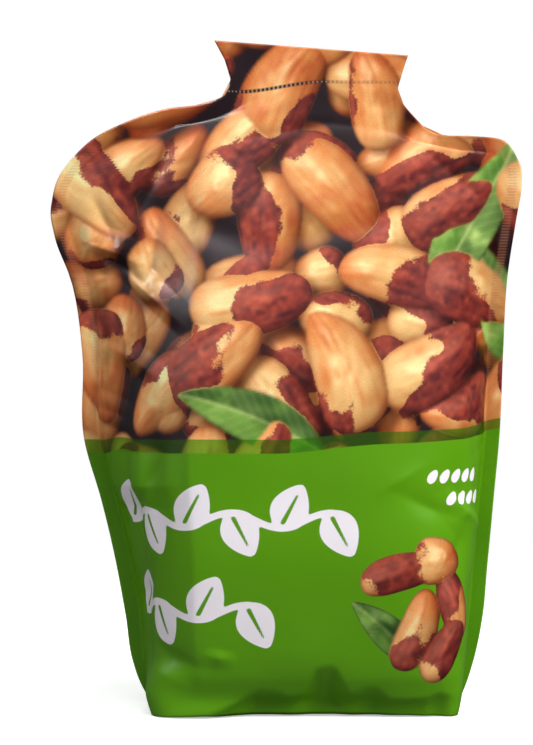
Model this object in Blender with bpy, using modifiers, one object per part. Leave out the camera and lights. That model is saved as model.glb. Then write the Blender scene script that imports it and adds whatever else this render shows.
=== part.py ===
# A filled stand-up pouch of nuts, about 286 mm tall: a front and a back panel of printed film,
# heat-sealed together along their sides, shoulders and header, a bottom gusset sealed inside their
# lower edge, and the settled nuts that hold the pouch open.
# Metres, +Z up, the front towards -Y, the origin on the floor under the middle of the outline.
# The film is drawn thicker than life: the real laminate is only about 0.15 mm.

import bmesh
import bpy
import numpy as np

MM = 0.001

# Film, in mm
FILM = 0.6
SEAL_GAP = 0.3
BODY_COLUMNS = 24
SEAL_COLUMNS = 2
ROWS_PER_STATION = 2

# Each station is one line of the film across the pouch, from its left edge over the middle to its
# right edge, in mm: height at the middle, left edge (x, z), right edge (x, z), width of the side
# seal, half-depth, and the two powers of the cross-section. Low stations are boxy, high ones thin.
# x is counted from the middle of the base. The upper part leans to the left.
STATIONS = np.array((
    (0, -67, 0, 66.5, 0, 2.5, 41.0, 9.0, 0.11),
    (7, -71, 7, 69.5, 7, 3.5, 39.8, 7.4, 0.135),
    (18, -75, 18, 73, 18, 5.0, 43.0, 5.6, 0.18),
    (38, -78, 38, 77, 38, 6.0, 45.2, 4.5, 0.24),
    (60, -82, 60, 79, 60, 6.3, 45.5, 4.0, 0.30),
    (88, -88.5, 88, 81.5, 88, 6.3, 43.0, 3.5, 0.38),
    (115, -96, 115, 84, 115, 6.3, 39.5, 3.1, 0.47),
    (150, -96.5, 151, 85.5, 151, 6.5, 32.0, 2.7, 0.62),
    (182, -101.5, 183, 87.5, 186, 6.8, 23.0, 2.4, 0.80),
    (202, -108.5, 202, 91, 209, 7.0, 16.5, 2.2, 0.92),
    (216, -110, 216, 93.5, 225, 7.0, 12.0, 2.1, 1.00),
    (227, -105, 231, 92, 235, 7.0, 8.8, 2.0, 1.05),
    (235, -93, 243.5, 85.5, 243.7, 7.0, 6.6, 2.0, 1.10),
    (243, -77, 251, 72, 245.7, 7.2, 4.6, 2.0, 1.10),
    (251, -60, 256, 57, 246.6, 7.5, 2.8, 2.0, 1.10),
    (258, -45, 258, 48.6, 252.6, 7.5, 1.6, 2.0, 1.10),
    (264, -35.5, 261.5, 42, 261.5, 7.0, 0.9, 2.0, 1.10),
    (269, -32.5, 267, 40, 267, 7.0, 0.4, 2.0, 1.10),
    (276, -34.5, 275, 42, 276, 7.0, 0.2, 2.0, 1.10),
    (284, -39.5, 284, 44.5, 284, 7.0, 0.1, 2.0, 1.10),
))
MIDDLE, LEFT_X, LEFT_Z, RIGHT_X, RIGHT_Z, SEAL, DEPTH, POWER, ROOT = STATIONS.T
CENTRE = (LEFT_X.min() + RIGHT_X.max()) / 2
HEIGHT = MIDDLE[-1]
ROW_BOW = 2.6  # power of the bow between a line's middle height and its edge height
SLOPE_STEP = 0.5  # mm on each side of a height, where an edge's direction is measured
LINE_SAMPLES = 401  # fine points along a line, before it is cut into equal lengths
CORNER_CROWDING = 3  # power that crowds those points towards the seams, where a line turns sharply

# The upper part leans back, and the header is tilted: its left end is higher than its right end
BACK_FROM, SET_BACK = 120.0, 6.5
TILT_FROM, TILT = 240.0, 3.5

# Front edge of the base lifts off the floor a little in the middle
ARCH, ARCH_TOP, ARCH_HALF = 1.5, 12.0, 50.0

# Broad dents where the film sinks in, in mm and degrees: middle across, middle height,
# half-length, half-width, turn of the length from level, depth. They fade out at the base's seal.
FRONT_DENTS = (
    (-55, 26, 14, 5, -24, 2.2),
    (-42, 32, 18, 4, 84, 1.5),
    (6, 19, 9, 8, 60, 2.4),
    (62, 84, 20, 5, 80, 2.2),
    (-66, 100, 30, 5, 97, 1.8),
    (14, 205, 34, 6, 12, 1.4),
    (-50, 208, 30, 7, -20, 1.8),
    (45, 222, 20, 5, 42, 1.4),
)
BACK_DENTS = (
    (50, 30, 16, 5, 28, 2.0),
    (-30, 22, 20, 5, 5, 1.8),
    (-64, 88, 22, 5, 96, 2.0),
    (5, 204, 40, 7, -8, 1.8),
    (40, 215, 22, 6, 20, 1.6),
)
DENTS_FROM = (6.0, 18.0)

# Gusset: a shallow dish, flat on the floor, whose rim turns up and then down inside the panels.
# Its rings are shares of the base's outline, each with a height in mm.
GUSSET_INSET = 1.7
GUSSET_RINGS = (
    (0.30, 0), (0.60, 0), (0.82, 0), (0.90, 0.6), (0.945, 2.4), (0.965, 4.6), (0.985, 5.4), (1.0, 4.4),
    (1.0, 0.4),
)

# Nuts: a heap with rings as shares of the pouch's section, each with a height in mm
NUT_BOTTOM, NUT_TOP = 1.7, 199.0
NUT_BOTTOM_RINGS = ((0.45, NUT_BOTTOM), (0.74, NUT_BOTTOM), (0.90, 5.5), (0.97, 10.0))
NUT_BODY_RINGS = tuple((1.0, height) for height in np.linspace(17, 177, 20))
NUT_TOP_RINGS = ((0.92, 186), (0.74, 193), (0.45, 197))
NUT_CLEAR = 2.6
NUT_COLUMNS = 24
KERNEL_RELIEF, KERNEL_LONG, KERNEL_WIDE = 1.3, 26.0, 17.0


def smooth_between(values, at):
    """Cubic Hermite curve through the stations' values, with slopes from the neighbours."""
    slope = np.gradient(values, MIDDLE)
    i = np.clip(np.searchsorted(MIDDLE, at, side="right") - 1, 0, len(MIDDLE) - 2)
    gap = MIDDLE[i + 1] - MIDDLE[i]
    t = (at - MIDDLE[i]) / gap
    return (
        values[i] * (2 * t**3 - 3 * t**2 + 1)
        + slope[i] * gap * (t**3 - 2 * t**2 + t)
        + values[i + 1] * (3 * t**2 - 2 * t**3)
        + slope[i + 1] * gap * (t**3 - t**2)
    )


def ramp(x, start, end):
    t = np.clip((x - start) / (end - start), 0, 1)
    return t * t * (3 - 2 * t)


def dented(x, z, dents):
    """Depth of all the dents at these points, in mm: each is a long bell lying at its own turn."""
    total = np.zeros_like(x)
    for across, height, long, wide, turn, deep in dents:
        c, s = np.cos(np.radians(turn)), np.sin(np.radians(turn))
        along = (x - across) * c + (z - height) * s
        aside = -(x - across) * s + (z - height) * c
        total += deep * np.exp(-((along / long) ** 2) - (aside / wide) ** 2)
    return total * ramp(z, *DENTS_FROM)


def side_lines(edge_x, edge_z, heights, side):
    """One side's edge and seam at these middle heights. The seam runs inside the edge, at a right
    angle to it, and level with it at the floor and at the top. side is -1 left and +1 right."""
    above = np.minimum(heights + SLOPE_STEP, HEIGHT)
    below = np.maximum(heights - SLOPE_STEP, 0)
    run_x = smooth_between(edge_x, above) - smooth_between(edge_x, below)
    run_z = smooth_between(edge_z, above) - smooth_between(edge_z, below)
    length = np.hypot(run_x, run_z)
    seal = smooth_between(SEAL, heights)
    x = smooth_between(edge_x, heights)
    z = smooth_between(edge_z, heights)
    level = ramp(heights, 0, MIDDLE[1]) * ramp(heights, HEIGHT, MIDDLE[-2])
    seam_x = x - side * seal * run_z / length
    seam_z = z + side * seal * run_x / length * level
    return np.stack((x, z, seam_x, seam_z), axis=-1)


def section(left, right, middle, inset, columns):
    """One line of the film from the left seam to the right one, cut into equal lengths.
    left and right are (x, z) of the seams. Returns x, z and the depth in front of the seal."""
    depth = smooth_between(DEPTH, middle) - inset
    power, root = smooth_between(POWER, middle), smooth_between(ROOT, middle)
    fine = np.linspace(-1, 1, LINE_SAMPLES)
    u = np.sign(fine) * (1 - (1 - np.abs(fine)) ** CORNER_CROWDING)
    half = (right[0] - left[0]) / 2 - inset
    x = (left[0] + right[0]) / 2 + half * u
    edge_z = np.where(u < 0, left[1], right[1])
    z = middle + (edge_z - middle) * np.abs(u) ** ROW_BOW
    y = depth * (1 - np.abs(u) ** power) ** root
    steps = np.sqrt(np.diff(x) ** 2 + np.diff(y) ** 2 + np.diff(z) ** 2)
    along = np.concatenate(([0], np.cumsum(steps)))
    equal = np.linspace(0, along[-1], columns + 1)
    return [np.interp(equal, along, values) for values in (x, z, y)]


def placed(x, y, z):
    """Leans the top back, tilts the header, and turns mm about the base into metres about the
    middle of the outline."""
    set_back = SET_BACK * (np.maximum(z - BACK_FROM, 0) / (HEIGHT - BACK_FROM)) ** 2
    tilt = -TILT * x / RIGHT_X[-1] * ramp(z, TILT_FROM, HEIGHT)
    return np.stack(np.broadcast_arrays(x - CENTRE, y + set_back, z + tilt), axis=-1) * MM


def panel_grid(side, dents, arch):
    """Outer surface of one panel. side is -1 for the front and +1 for the back."""
    stations = len(MIDDLE) - 1
    share = np.linspace(0, stations, stations * ROWS_PER_STATION + 1)
    heights = np.interp(share, np.arange(stations + 1), MIDDLE)
    left = side_lines(LEFT_X, LEFT_Z, heights, -1)
    right = side_lines(RIGHT_X, RIGHT_Z, heights, 1)
    out = np.linspace(0, 1, SEAL_COLUMNS + 1)[1:, None]
    rows = []
    for middle, left_line, right_line in zip(heights, left, right):
        left_edge, left_seam = left_line[:2], left_line[2:]
        right_edge, right_seam = right_line[:2], right_line[2:]
        x, z, y = section(left_seam, right_seam, middle, 0.0, BODY_COLUMNS)
        y = np.maximum(y - dented(x, z, dents) * y / y.max(), 0)
        z = z + arch * ramp(z, ARCH_TOP, 0) * np.exp(-((x / ARCH_HALF) ** 4)) * y / y.max()
        seal_left = left_seam + (left_edge - left_seam) * out[::-1]
        seal_right = right_seam + (right_edge - right_seam) * out
        x = np.concatenate((seal_left[:, 0], x, seal_right[:, 0]))
        z = np.concatenate((seal_left[:, 1], z, seal_right[:, 1]))
        y = np.pad(y, SEAL_COLUMNS) + SEAL_GAP / 2 + FILM
        rows.append(placed(x, side * y, z))
    return np.array(rows)


def kernel_relief(around, height):
    """How far the heap sinks between kernels that lie in staggered rows, in mm."""
    row = np.floor(height / KERNEL_WIDE)
    up = np.abs(np.sin(np.pi * height / KERNEL_WIDE))
    along = np.abs(np.sin(np.pi * (around / KERNEL_LONG + row / 2)))
    return KERNEL_RELIEF * (1 - np.sqrt(up * along))


def ring(share, height, inset, columns, dents=((), ()), relief=0.0):
    """A closed ring inside the panels at one height: its front half, then its back half."""
    at = np.array([float(height)])
    left_seam = side_lines(LEFT_X, LEFT_Z, at, -1)[0, 2]
    right_seam = side_lines(RIGHT_X, RIGHT_Z, at, 1)[0, 2]
    x, z, y = section((left_seam, height), (right_seam, height), float(height), inset, columns)
    front, back = (y - dented(x, z, these) * y / y.max() for these in dents)
    middle = (x[0] + x[-1]) / 2
    across = np.concatenate((x[:-1], x[:0:-1])) - middle
    deep = np.concatenate((-front[:-1], back[:0:-1]))
    steps = np.hypot(np.diff(across, prepend=across[0]), np.diff(deep, prepend=deep[0]))
    drawn_in = share * (1 - relief * kernel_relief(np.cumsum(steps), height) / y.max())
    return placed(middle + across * drawn_in, deep * drawn_in, float(height))


def grid_faces(rows, columns, closed=False):
    """Quads between neighbouring points of a grid, round the columns too if they close."""
    last = columns if closed else columns - 1
    return [
        (
            r * columns + c,
            r * columns + (c + 1) % columns,
            (r + 1) * columns + (c + 1) % columns,
            (r + 1) * columns + c,
        )
        for r in range(rows - 1)
        for c in range(last)
    ]


def material(name, colour, roughness):
    finish = bpy.data.materials.new(name)
    finish.use_nodes = True
    shader = finish.node_tree.nodes["Principled BSDF"]
    shader.inputs["Base Color"].default_value = (*colour, 1)
    shader.inputs["Roughness"].default_value = roughness
    shader.inputs["Metallic"].default_value = 0.0
    return finish


def add_object(name, points, faces, finish, collection):
    mesh = bpy.data.meshes.new(name)
    mesh.from_pydata([tuple(point) for point in points], [], faces)
    build = bmesh.new()
    build.from_mesh(mesh)
    bmesh.ops.recalc_face_normals(build, faces=build.faces)
    build.to_mesh(mesh)
    build.free()
    mesh.shade_smooth()
    mesh.materials.append(finish)
    made = bpy.data.objects.new(name, mesh)
    collection.objects.link(made)
    return made


def add_film_thickness(sheet, outwards):
    """Thickens an open sheet towards the inside, so that the sheet itself stays the outer face."""
    faces = sheet.data.polygons
    facing = sum(face.area * face.normal.dot(outwards) for face in faces)
    if facing < 0:
        sheet.data.flip_normals()
    solid = sheet.modifiers.new("film", "SOLIDIFY")
    solid.thickness = FILM * MM
    solid.offset = -1


def make_panel(name, side, dents, arch, finish, collection):
    grid = panel_grid(side, dents, arch)
    rows, columns = grid.shape[:2]
    panel = add_object(name, grid.reshape(-1, 3), grid_faces(rows, columns), finish, collection)
    add_film_thickness(panel, (0, side, 0))


def make_gusset(finish, collection):
    """The dish under the nuts, with its rim sealed inside the lower edge of both panels."""
    columns = 2 * BODY_COLUMNS
    points = [placed((LEFT_X[0] + RIGHT_X[0]) / 2, 0.0, 0.0)]
    for share, height in GUSSET_RINGS:
        points.extend(ring(share, height, GUSSET_INSET, BODY_COLUMNS))
    faces = [(0, 1 + k, 1 + (k + 1) % columns) for k in range(columns)]
    faces += [
        tuple(1 + corner for corner in quad)
        for quad in grid_faces(len(GUSSET_RINGS), columns, closed=True)
    ]
    gusset = add_object("bottom_gusset", points, faces, finish, collection)
    add_film_thickness(gusset, (0, 0, -1))


def make_nuts(finish, collection):
    """The settled nuts as one heap, with kernels raised from its surface."""
    rings = NUT_BOTTOM_RINGS + NUT_BODY_RINGS + NUT_TOP_RINGS
    columns = 2 * NUT_COLUMNS
    points = [placed(0.0, 0.0, height) for height in (NUT_BOTTOM, NUT_TOP)]
    for share, height in rings:
        relief = float(height > NUT_BODY_RINGS[0][1])
        points.extend(ring(share, height, NUT_CLEAR, NUT_COLUMNS, (FRONT_DENTS, BACK_DENTS), relief))
    last = 2 + (len(rings) - 1) * columns
    faces = [(0, 2 + (k + 1) % columns, 2 + k) for k in range(columns)]
    faces += [
        tuple(2 + corner for corner in quad)
        for quad in grid_faces(len(rings), columns, closed=True)
    ]
    faces += [(1, last + k, last + (k + 1) % columns) for k in range(columns)]
    add_object("nuts", points, faces, finish, collection)


def main():
    for old in list(bpy.data.objects):
        bpy.data.objects.remove(old)
    pouch = bpy.data.collections.new("filled_pouch")
    bpy.context.scene.collection.children.link(pouch)
    printed_film = material("printed_film", (0.10, 0.30, 0.02), 0.38)
    plain_film = material("plain_film", (0.08, 0.24, 0.02), 0.42)
    kernels = material("kernels", (0.62, 0.36, 0.16), 0.55)
    make_panel("front_panel", -1, FRONT_DENTS, ARCH, printed_film, pouch)
    make_panel("back_panel", 1, BACK_DENTS, 0.0, printed_film, pouch)
    make_gusset(plain_film, pouch)
    make_nuts(kernels, pouch)


main()
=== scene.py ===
import bpy
import numpy as np
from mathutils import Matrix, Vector


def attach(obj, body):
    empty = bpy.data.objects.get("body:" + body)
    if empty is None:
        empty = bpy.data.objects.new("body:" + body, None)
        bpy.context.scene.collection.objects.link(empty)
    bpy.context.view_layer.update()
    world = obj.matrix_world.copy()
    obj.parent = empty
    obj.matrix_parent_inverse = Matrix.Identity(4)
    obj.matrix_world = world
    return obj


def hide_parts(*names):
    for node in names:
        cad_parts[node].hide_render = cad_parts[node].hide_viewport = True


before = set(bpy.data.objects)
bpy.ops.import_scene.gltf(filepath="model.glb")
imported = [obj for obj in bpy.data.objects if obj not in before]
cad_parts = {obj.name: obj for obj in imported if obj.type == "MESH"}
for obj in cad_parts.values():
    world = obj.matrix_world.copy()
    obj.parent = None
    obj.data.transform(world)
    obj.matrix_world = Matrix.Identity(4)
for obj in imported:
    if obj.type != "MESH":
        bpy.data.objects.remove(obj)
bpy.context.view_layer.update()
MM = 0.001

# %% [markdown]
# The camera stands in front of the pouch, hardly above its middle, with a long lens, as one does
# for a packshot: a long lens keeps upright edges upright. It aims a little beside the pouch,
# because the pouch isn't quite in the middle of the picture.
# %% Camera
PICTURE_WIDE, PICTURE_HIGH = 533, 745
CAMERA_TURN, CAMERA_RISE, CAMERA_FAR = np.radians(0.2), np.radians(2.0), 1.0
LENS_PIXELS = 2310.0  # focal length, in pixels of the picture
POUCH_PIXEL = (286.2, 379.9)  # where the pouch's middle falls in the picture
SENSOR = 36.0

pouch_middle = Vector((0, 0, 0.14))
towards_camera = Vector((
    np.sin(CAMERA_TURN) * np.cos(CAMERA_RISE),
    -np.cos(CAMERA_TURN) * np.cos(CAMERA_RISE),
    np.sin(CAMERA_RISE),
))
camera_right = Vector((np.cos(CAMERA_TURN), np.sin(CAMERA_TURN), 0))
camera_up = towards_camera.cross(camera_right)
pixel_size = CAMERA_FAR / LENS_PIXELS
aim = (
    pouch_middle
    - camera_right * (POUCH_PIXEL[0] - PICTURE_WIDE / 2) * pixel_size
    + camera_up * (POUCH_PIXEL[1] - PICTURE_HIGH / 2) * pixel_size
)
camera = bpy.data.objects.new("camera", bpy.data.cameras.new("camera"))
bpy.context.scene.collection.objects.link(camera)
camera.location = pouch_middle + towards_camera * CAMERA_FAR
camera.rotation_euler = (aim - camera.location).to_track_quat("-Z", "Y").to_euler()
camera.data.sensor_width = SENSOR
camera.data.lens = LENS_PIXELS * SENSOR / PICTURE_HIGH
bpy.context.scene.camera = camera
print("lens in mm:", round(camera.data.lens, 1))

# %% [markdown]
# A node tree is easier to read when one line makes one node. The first helper places a node, sets
# its options, and fills its sockets: a plain value is typed in, and another node's output is
# linked. The others are for the kinds of node that are used most.
# %% Helpers for node trees


def place(tree, kind, ins=None, **options):
    """One node of a tree. ins maps a socket's name or number to a value or to an output socket."""
    node = tree.nodes.new(kind)
    for name, value in options.items():
        setattr(node, name, value)
    for socket, value in (ins or {}).items():
        if isinstance(value, bpy.types.NodeSocket):
            tree.links.new(value, node.inputs[socket])
        else:
            node.inputs[socket].default_value = value
    return node


def maths(tree, operation, *values):
    """The outcome of a calculation with plain values or sockets."""
    return place(tree, "ShaderNodeMath", dict(enumerate(values)), operation=operation).outputs[0]


def scaled(tree, vector, by):
    """A vector or colour, each of its three numbers times by."""
    node = place(tree, "ShaderNodeVectorMath", {0: vector, "Scale": by}, operation="SCALE")
    return node.outputs["Vector"]


def blend_colours(tree, share, a, b, how="MIX"):
    """Colour a with b laid over it by a share. a and b are sockets or red, green, blue."""
    ends = [end if isinstance(end, bpy.types.NodeSocket) else (*end, 1) for end in (a, b)]
    node = place(tree, "ShaderNodeMix", {0: share, 6: ends[0], 7: ends[1]}, data_type="RGBA")
    node.blend_type = how
    return node.outputs[2]


def empty_material(name):
    """A material with its own Principled shader and nothing else."""
    made = bpy.data.materials.new(name)
    made.use_nodes = True
    return made, made.node_tree, made.node_tree.nodes["Principled BSDF"]


# %% [markdown]
# The floor is plain and pale and fades out far from the pouch, so that no horizon shows behind it.
# It lies a hair below the pouch, so that the two faces don't coincide. The light is a large soft
# window high on the right, a small one high on the left and a long box overhead. The windows only
# light: gloss doesn't mirror them, as behind a polarising filter, because satin film that mirrors a
# large window looks hazy and pale. For the same reason the sky is white only where the camera looks
# at it, and the floor throws little light back and is mirrored darker still. Two small glints, high
# in front and high on the left, are only mirrored. They pick out the folds whose upper side faces
# them. A weak window behind lights the back.
# %% Floor, sky and lights
FLOOR_HALF, FLOOR_LOW, FLOOR_FADE = 3.0, -0.0002, (0.16, 0.7)
FLOOR_SEEN, FLOOR_LIT, FLOOR_MIRRORED, FLOOR_GLOW = 0.9, 0.26, 0.04, 0.45  # levels of grey


def make_floor():
    """A large square that the camera sees pale, and light and gloss see darker."""
    mesh = bpy.data.meshes.new("floor")
    square = ((-1, -1), (1, -1), (1, 1), (-1, 1))
    corners = [(x * FLOOR_HALF, y * FLOOR_HALF, FLOOR_LOW) for x, y in square]
    mesh.from_pydata(corners, [], [(0, 1, 2, 3)])
    floor = bpy.data.objects.new("floor", mesh)
    bpy.context.scene.collection.objects.link(floor)
    finish, tree, shader = empty_material("pale_floor")
    where = place(tree, "ShaderNodeTexCoord").outputs["Object"]
    far = place(tree, "ShaderNodeVectorMath", {0: where}, operation="LENGTH").outputs["Value"]
    alpha = place(
        tree, "ShaderNodeMapRange", {0: far, 1: FLOOR_FADE[0], 2: FLOOR_FADE[1], 3: 1.0, 4: 0.0}
    )
    alpha.interpolation_type = "SMOOTHSTEP"
    tree.links.new(alpha.outputs[0], shader.inputs["Alpha"])
    path = place(tree, "ShaderNodeLightPath")
    seen = path.outputs["Is Camera Ray"]
    lit, mirrored, shown = ((level,) * 3 for level in (FLOOR_LIT, FLOOR_MIRRORED, FLOOR_SEEN))
    grey = blend_colours(tree, path.outputs["Is Glossy Ray"], lit, mirrored)
    grey = blend_colours(tree, seen, grey, shown)
    tree.links.new(grey, shader.inputs["Base Color"])
    tree.links.new(maths(tree, "MULTIPLY", seen, FLOOR_GLOW), shader.inputs["Emission Strength"])
    shader.inputs["Emission Color"].default_value = (1, 1, 1, 1)
    shader.inputs["Roughness"].default_value = 0.9
    mesh.materials.append(finish)


def make_window(name, place_at, look_at, wide, high, watts, lights=True, mirrored=True):
    """A rectangular soft light that faces a point. It lights, or is mirrored by gloss, or both."""
    data = bpy.data.lights.new(name, "AREA")
    data.shape, data.size, data.size_y = "RECTANGLE", wide, high
    data.energy = watts
    light = bpy.data.objects.new(name, data)
    bpy.context.scene.collection.objects.link(light)
    light.location = place_at
    light.rotation_euler = (Vector(look_at) - light.location).to_track_quat("-Z", "Y").to_euler()
    light.visible_diffuse, light.visible_glossy = lights, mirrored


def make_sky(seen, horizon, overhead):
    """White where the camera sees it. What it lights and what mirrors it get a darker sky, whose
    level goes from horizon to overhead."""
    world = bpy.data.worlds.new("sky")
    bpy.context.scene.world = world
    world.use_nodes = True
    tree = world.node_tree
    tree.nodes.clear()
    direction = place(tree, "ShaderNodeTexCoord").outputs["Generated"]
    up = place(tree, "ShaderNodeSeparateXYZ", {0: direction}).outputs["Z"]
    bright = place(tree, "ShaderNodeMapRange", {0: up, 1: 0.0, 2: 0.9, 3: horizon, 4: overhead})
    camera_sees = place(tree, "ShaderNodeBackground", {"Color": (1, 1, 1, 1), "Strength": seen})
    lights = place(
        tree, "ShaderNodeBackground", {"Color": (1, 1, 1, 1), "Strength": bright.outputs[0]}
    )
    path = place(tree, "ShaderNodeLightPath")
    both = place(
        tree,
        "ShaderNodeMixShader",
        {0: path.outputs["Is Camera Ray"], 1: lights.outputs[0], 2: camera_sees.outputs[0]},
    )
    place(tree, "ShaderNodeOutputWorld", {"Surface": both.outputs[0]})


make_floor()
make_sky(seen=1.0, horizon=0.08, overhead=0.45)
make_window("window_right", (0.97, -0.68, 1.05), (0, 0, 0.13), 0.8, 0.8, 23, mirrored=False)
make_window("window_left", (-0.95, -0.75, 1.0), (0, 0, 0.2), 0.25, 0.45, 3.4, mirrored=False)
make_window("box_overhead", (0.1, -0.3, 1.3), (0, 0, 0.1), 0.7, 0.3, 4)
make_window("glint", (-0.35, -0.35, 1.25), (0, 0, 0.2), 0.5, 0.25, 9.5, lights=False)
make_window("glint_left", (-1.07, -0.34, 0.98), (-0.09, 0, 0.2), 0.3, 0.2, 6, lights=False)
make_window("window_behind", (-0.5, 1.3, 0.9), (0, 0, 0.13), 1.0, 1.0, 9, mirrored=False)
bpy.context.scene.view_settings.view_transform = "Standard"
print("floor and lights are up")

# %% [markdown]
# The pouch's form is a set of level lines of film, like the plan of a sail: at each height the
# places of its left and right edge, the width of the side seal, and how far the film bulges. The
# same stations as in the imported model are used, so the film lies where its solid lies. They are in
# mm about the middle of the base.
# %% Stations of the film
# middle height, left edge (x, z), right edge (x, z), side seal, half-depth, power, root
STATIONS = np.array((
    (0, -67, 0, 66.5, 0, 2.5, 41.0, 9.0, 0.11),
    (7, -71, 7, 69.5, 7, 3.5, 39.8, 7.4, 0.135),
    (18, -75, 18, 73, 18, 5.0, 43.0, 5.6, 0.18),
    (38, -78, 38, 77, 38, 6.0, 45.2, 4.5, 0.24),
    (60, -82, 60, 79, 60, 6.3, 45.5, 4.0, 0.30),
    (88, -88.5, 88, 81.5, 88, 6.3, 43.0, 3.5, 0.38),
    (115, -96, 115, 84, 115, 6.3, 39.5, 3.1, 0.47),
    (150, -96.5, 151, 85.5, 151, 6.5, 32.0, 2.7, 0.62),
    (182, -101.5, 183, 87.5, 186, 6.8, 23.0, 2.4, 0.80),
    (202, -108.5, 202, 91, 209, 7.0, 16.5, 2.2, 0.92),
    (216, -110, 216, 93.5, 225, 7.0, 12.0, 2.1, 1.00),
    (227, -105, 231, 92, 235, 7.0, 8.8, 2.0, 1.05),
    (235, -93, 243.5, 85.5, 243.7, 7.0, 6.6, 2.0, 1.10),
    (243, -77, 251, 72, 245.7, 7.2, 4.6, 2.0, 1.10),
    (251, -60, 256, 57, 246.6, 7.5, 2.8, 2.0, 1.10),
    (258, -45, 258, 48.6, 252.6, 7.5, 1.6, 2.0, 1.10),
    (264, -35.5, 261.5, 42, 261.5, 7.0, 0.9, 2.0, 1.10),
    (269, -32.5, 267, 40, 267, 7.0, 0.4, 2.0, 1.10),
    (276, -34.5, 275, 42, 276, 7.0, 0.2, 2.0, 1.10),
    (284, -39.5, 284, 44.5, 284, 7.0, 0.1, 2.0, 1.10),
))
MIDDLE, LEFT_X, LEFT_Z, RIGHT_X, RIGHT_Z, SEAL, DEPTH, POWER, ROOT = STATIONS.T
CENTRE = (LEFT_X.min() + RIGHT_X.max()) / 2
HEIGHT = MIDDLE[-1]
ROW_BOW, SLOPE_STEP, LINE_SAMPLES, CORNER_CROWDING = 2.6, 0.5, 401, 3
BACK_FROM, SET_BACK = 120.0, 6.5
TILT_FROM, TILT = 240.0, 3.5
ARCH, ARCH_TOP, ARCH_HALF = 1.5, 12.0, 50.0
print("film stations:", len(MIDDLE), "width at the shoulders:", RIGHT_X.max() - LEFT_X.min())

# %% [markdown]
# Between two stations each value runs along a smooth cubic curve. A second small helper, the ramp,
# goes from 0 to 1 without a corner at either end. It is used wherever something has to fade. Folds
# and kernels lie at a slant, so another helper measures along and aside a slanting line.
# %% Smooth curves, ramps and slanting lines


def smooth_between(values, at):
    """Cubic Hermite curve through the stations' values, with slopes from the neighbours."""
    slope = np.gradient(values, MIDDLE)
    i = np.clip(np.searchsorted(MIDDLE, at, side="right") - 1, 0, len(MIDDLE) - 2)
    gap = MIDDLE[i + 1] - MIDDLE[i]
    t = (at - MIDDLE[i]) / gap
    return (
        values[i] * (2 * t**3 - 3 * t**2 + 1)
        + slope[i] * gap * (t**3 - 2 * t**2 + t)
        + values[i + 1] * (3 * t**2 - 2 * t**3)
        + slope[i + 1] * gap * (t**3 - t**2)
    )


def ramp(x, start, end):
    """3t^2 - 2t^3 of the share t of the way from start to end."""
    t = np.clip((x - start) / (end - start), 0, 1)
    return t * t * (3 - 2 * t)


def climbed(x, climbs):
    """Sum of ramps. Each row of climbs says how high a ramp goes, and where it starts and ends."""
    return sum(high * ramp(x, start, end) for high, start, end in climbs)


def turned(x, y, degrees):
    """Distances along and aside a line through zero that is turned by that many degrees."""
    c, s = np.cos(np.radians(degrees)), np.sin(np.radians(degrees))
    return x * c + y * s, -x * s + y * c


def row_interp(at, known, values):
    """np.interp on every row of an array at once: each row is moved past the one before it."""
    low = min(known.min(), at.min())
    span = max(known.max(), at.max()) - low + 1
    shift = np.arange(len(known))[:, None] * span
    found = np.interp((at - low + shift).ravel(), (known - low + shift).ravel(), values.ravel())
    return found.reshape(at.shape)


# %% [markdown]
# The seam is the inner edge of the seal. It runs beside the film's edge, at a right angle to it.
# From seam to seam, a line of film is a flattened oval. It is cut into equal lengths, so that the
# mesh is even, and each point keeps its place on the flat film: how far it lies from the middle
# line along the film, and how far up the film. The print is laid out in those two measures.
# %% Lines of film


def side_lines(edge_x, edge_z, heights, side):
    """Edge and seam at these middle heights, as x, z, seam x, seam z. side is -1 left, +1 right."""
    above = np.minimum(heights + SLOPE_STEP, HEIGHT)
    below = np.maximum(heights - SLOPE_STEP, 0)
    run_x = smooth_between(edge_x, above) - smooth_between(edge_x, below)
    run_z = smooth_between(edge_z, above) - smooth_between(edge_z, below)
    length = np.hypot(run_x, run_z)
    seal = smooth_between(SEAL, heights)
    x = smooth_between(edge_x, heights)
    z = smooth_between(edge_z, heights)
    level = ramp(heights, 0, MIDDLE[1]) * ramp(heights, HEIGHT, MIDDLE[-2])
    seam_x = x - side * seal * run_z / length
    seam_z = z + side * seal * run_x / length * level
    return x, z, seam_x, seam_z


def film_up(z):
    """Height along the film of a point at height z: the length of the front's middle line."""
    fine = np.linspace(0, HEIGHT, 600)
    steps = np.hypot(np.diff(fine), np.diff(smooth_between(DEPTH, fine)))
    return np.interp(z, fine, np.concatenate(([0], np.cumsum(steps))))


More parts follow.
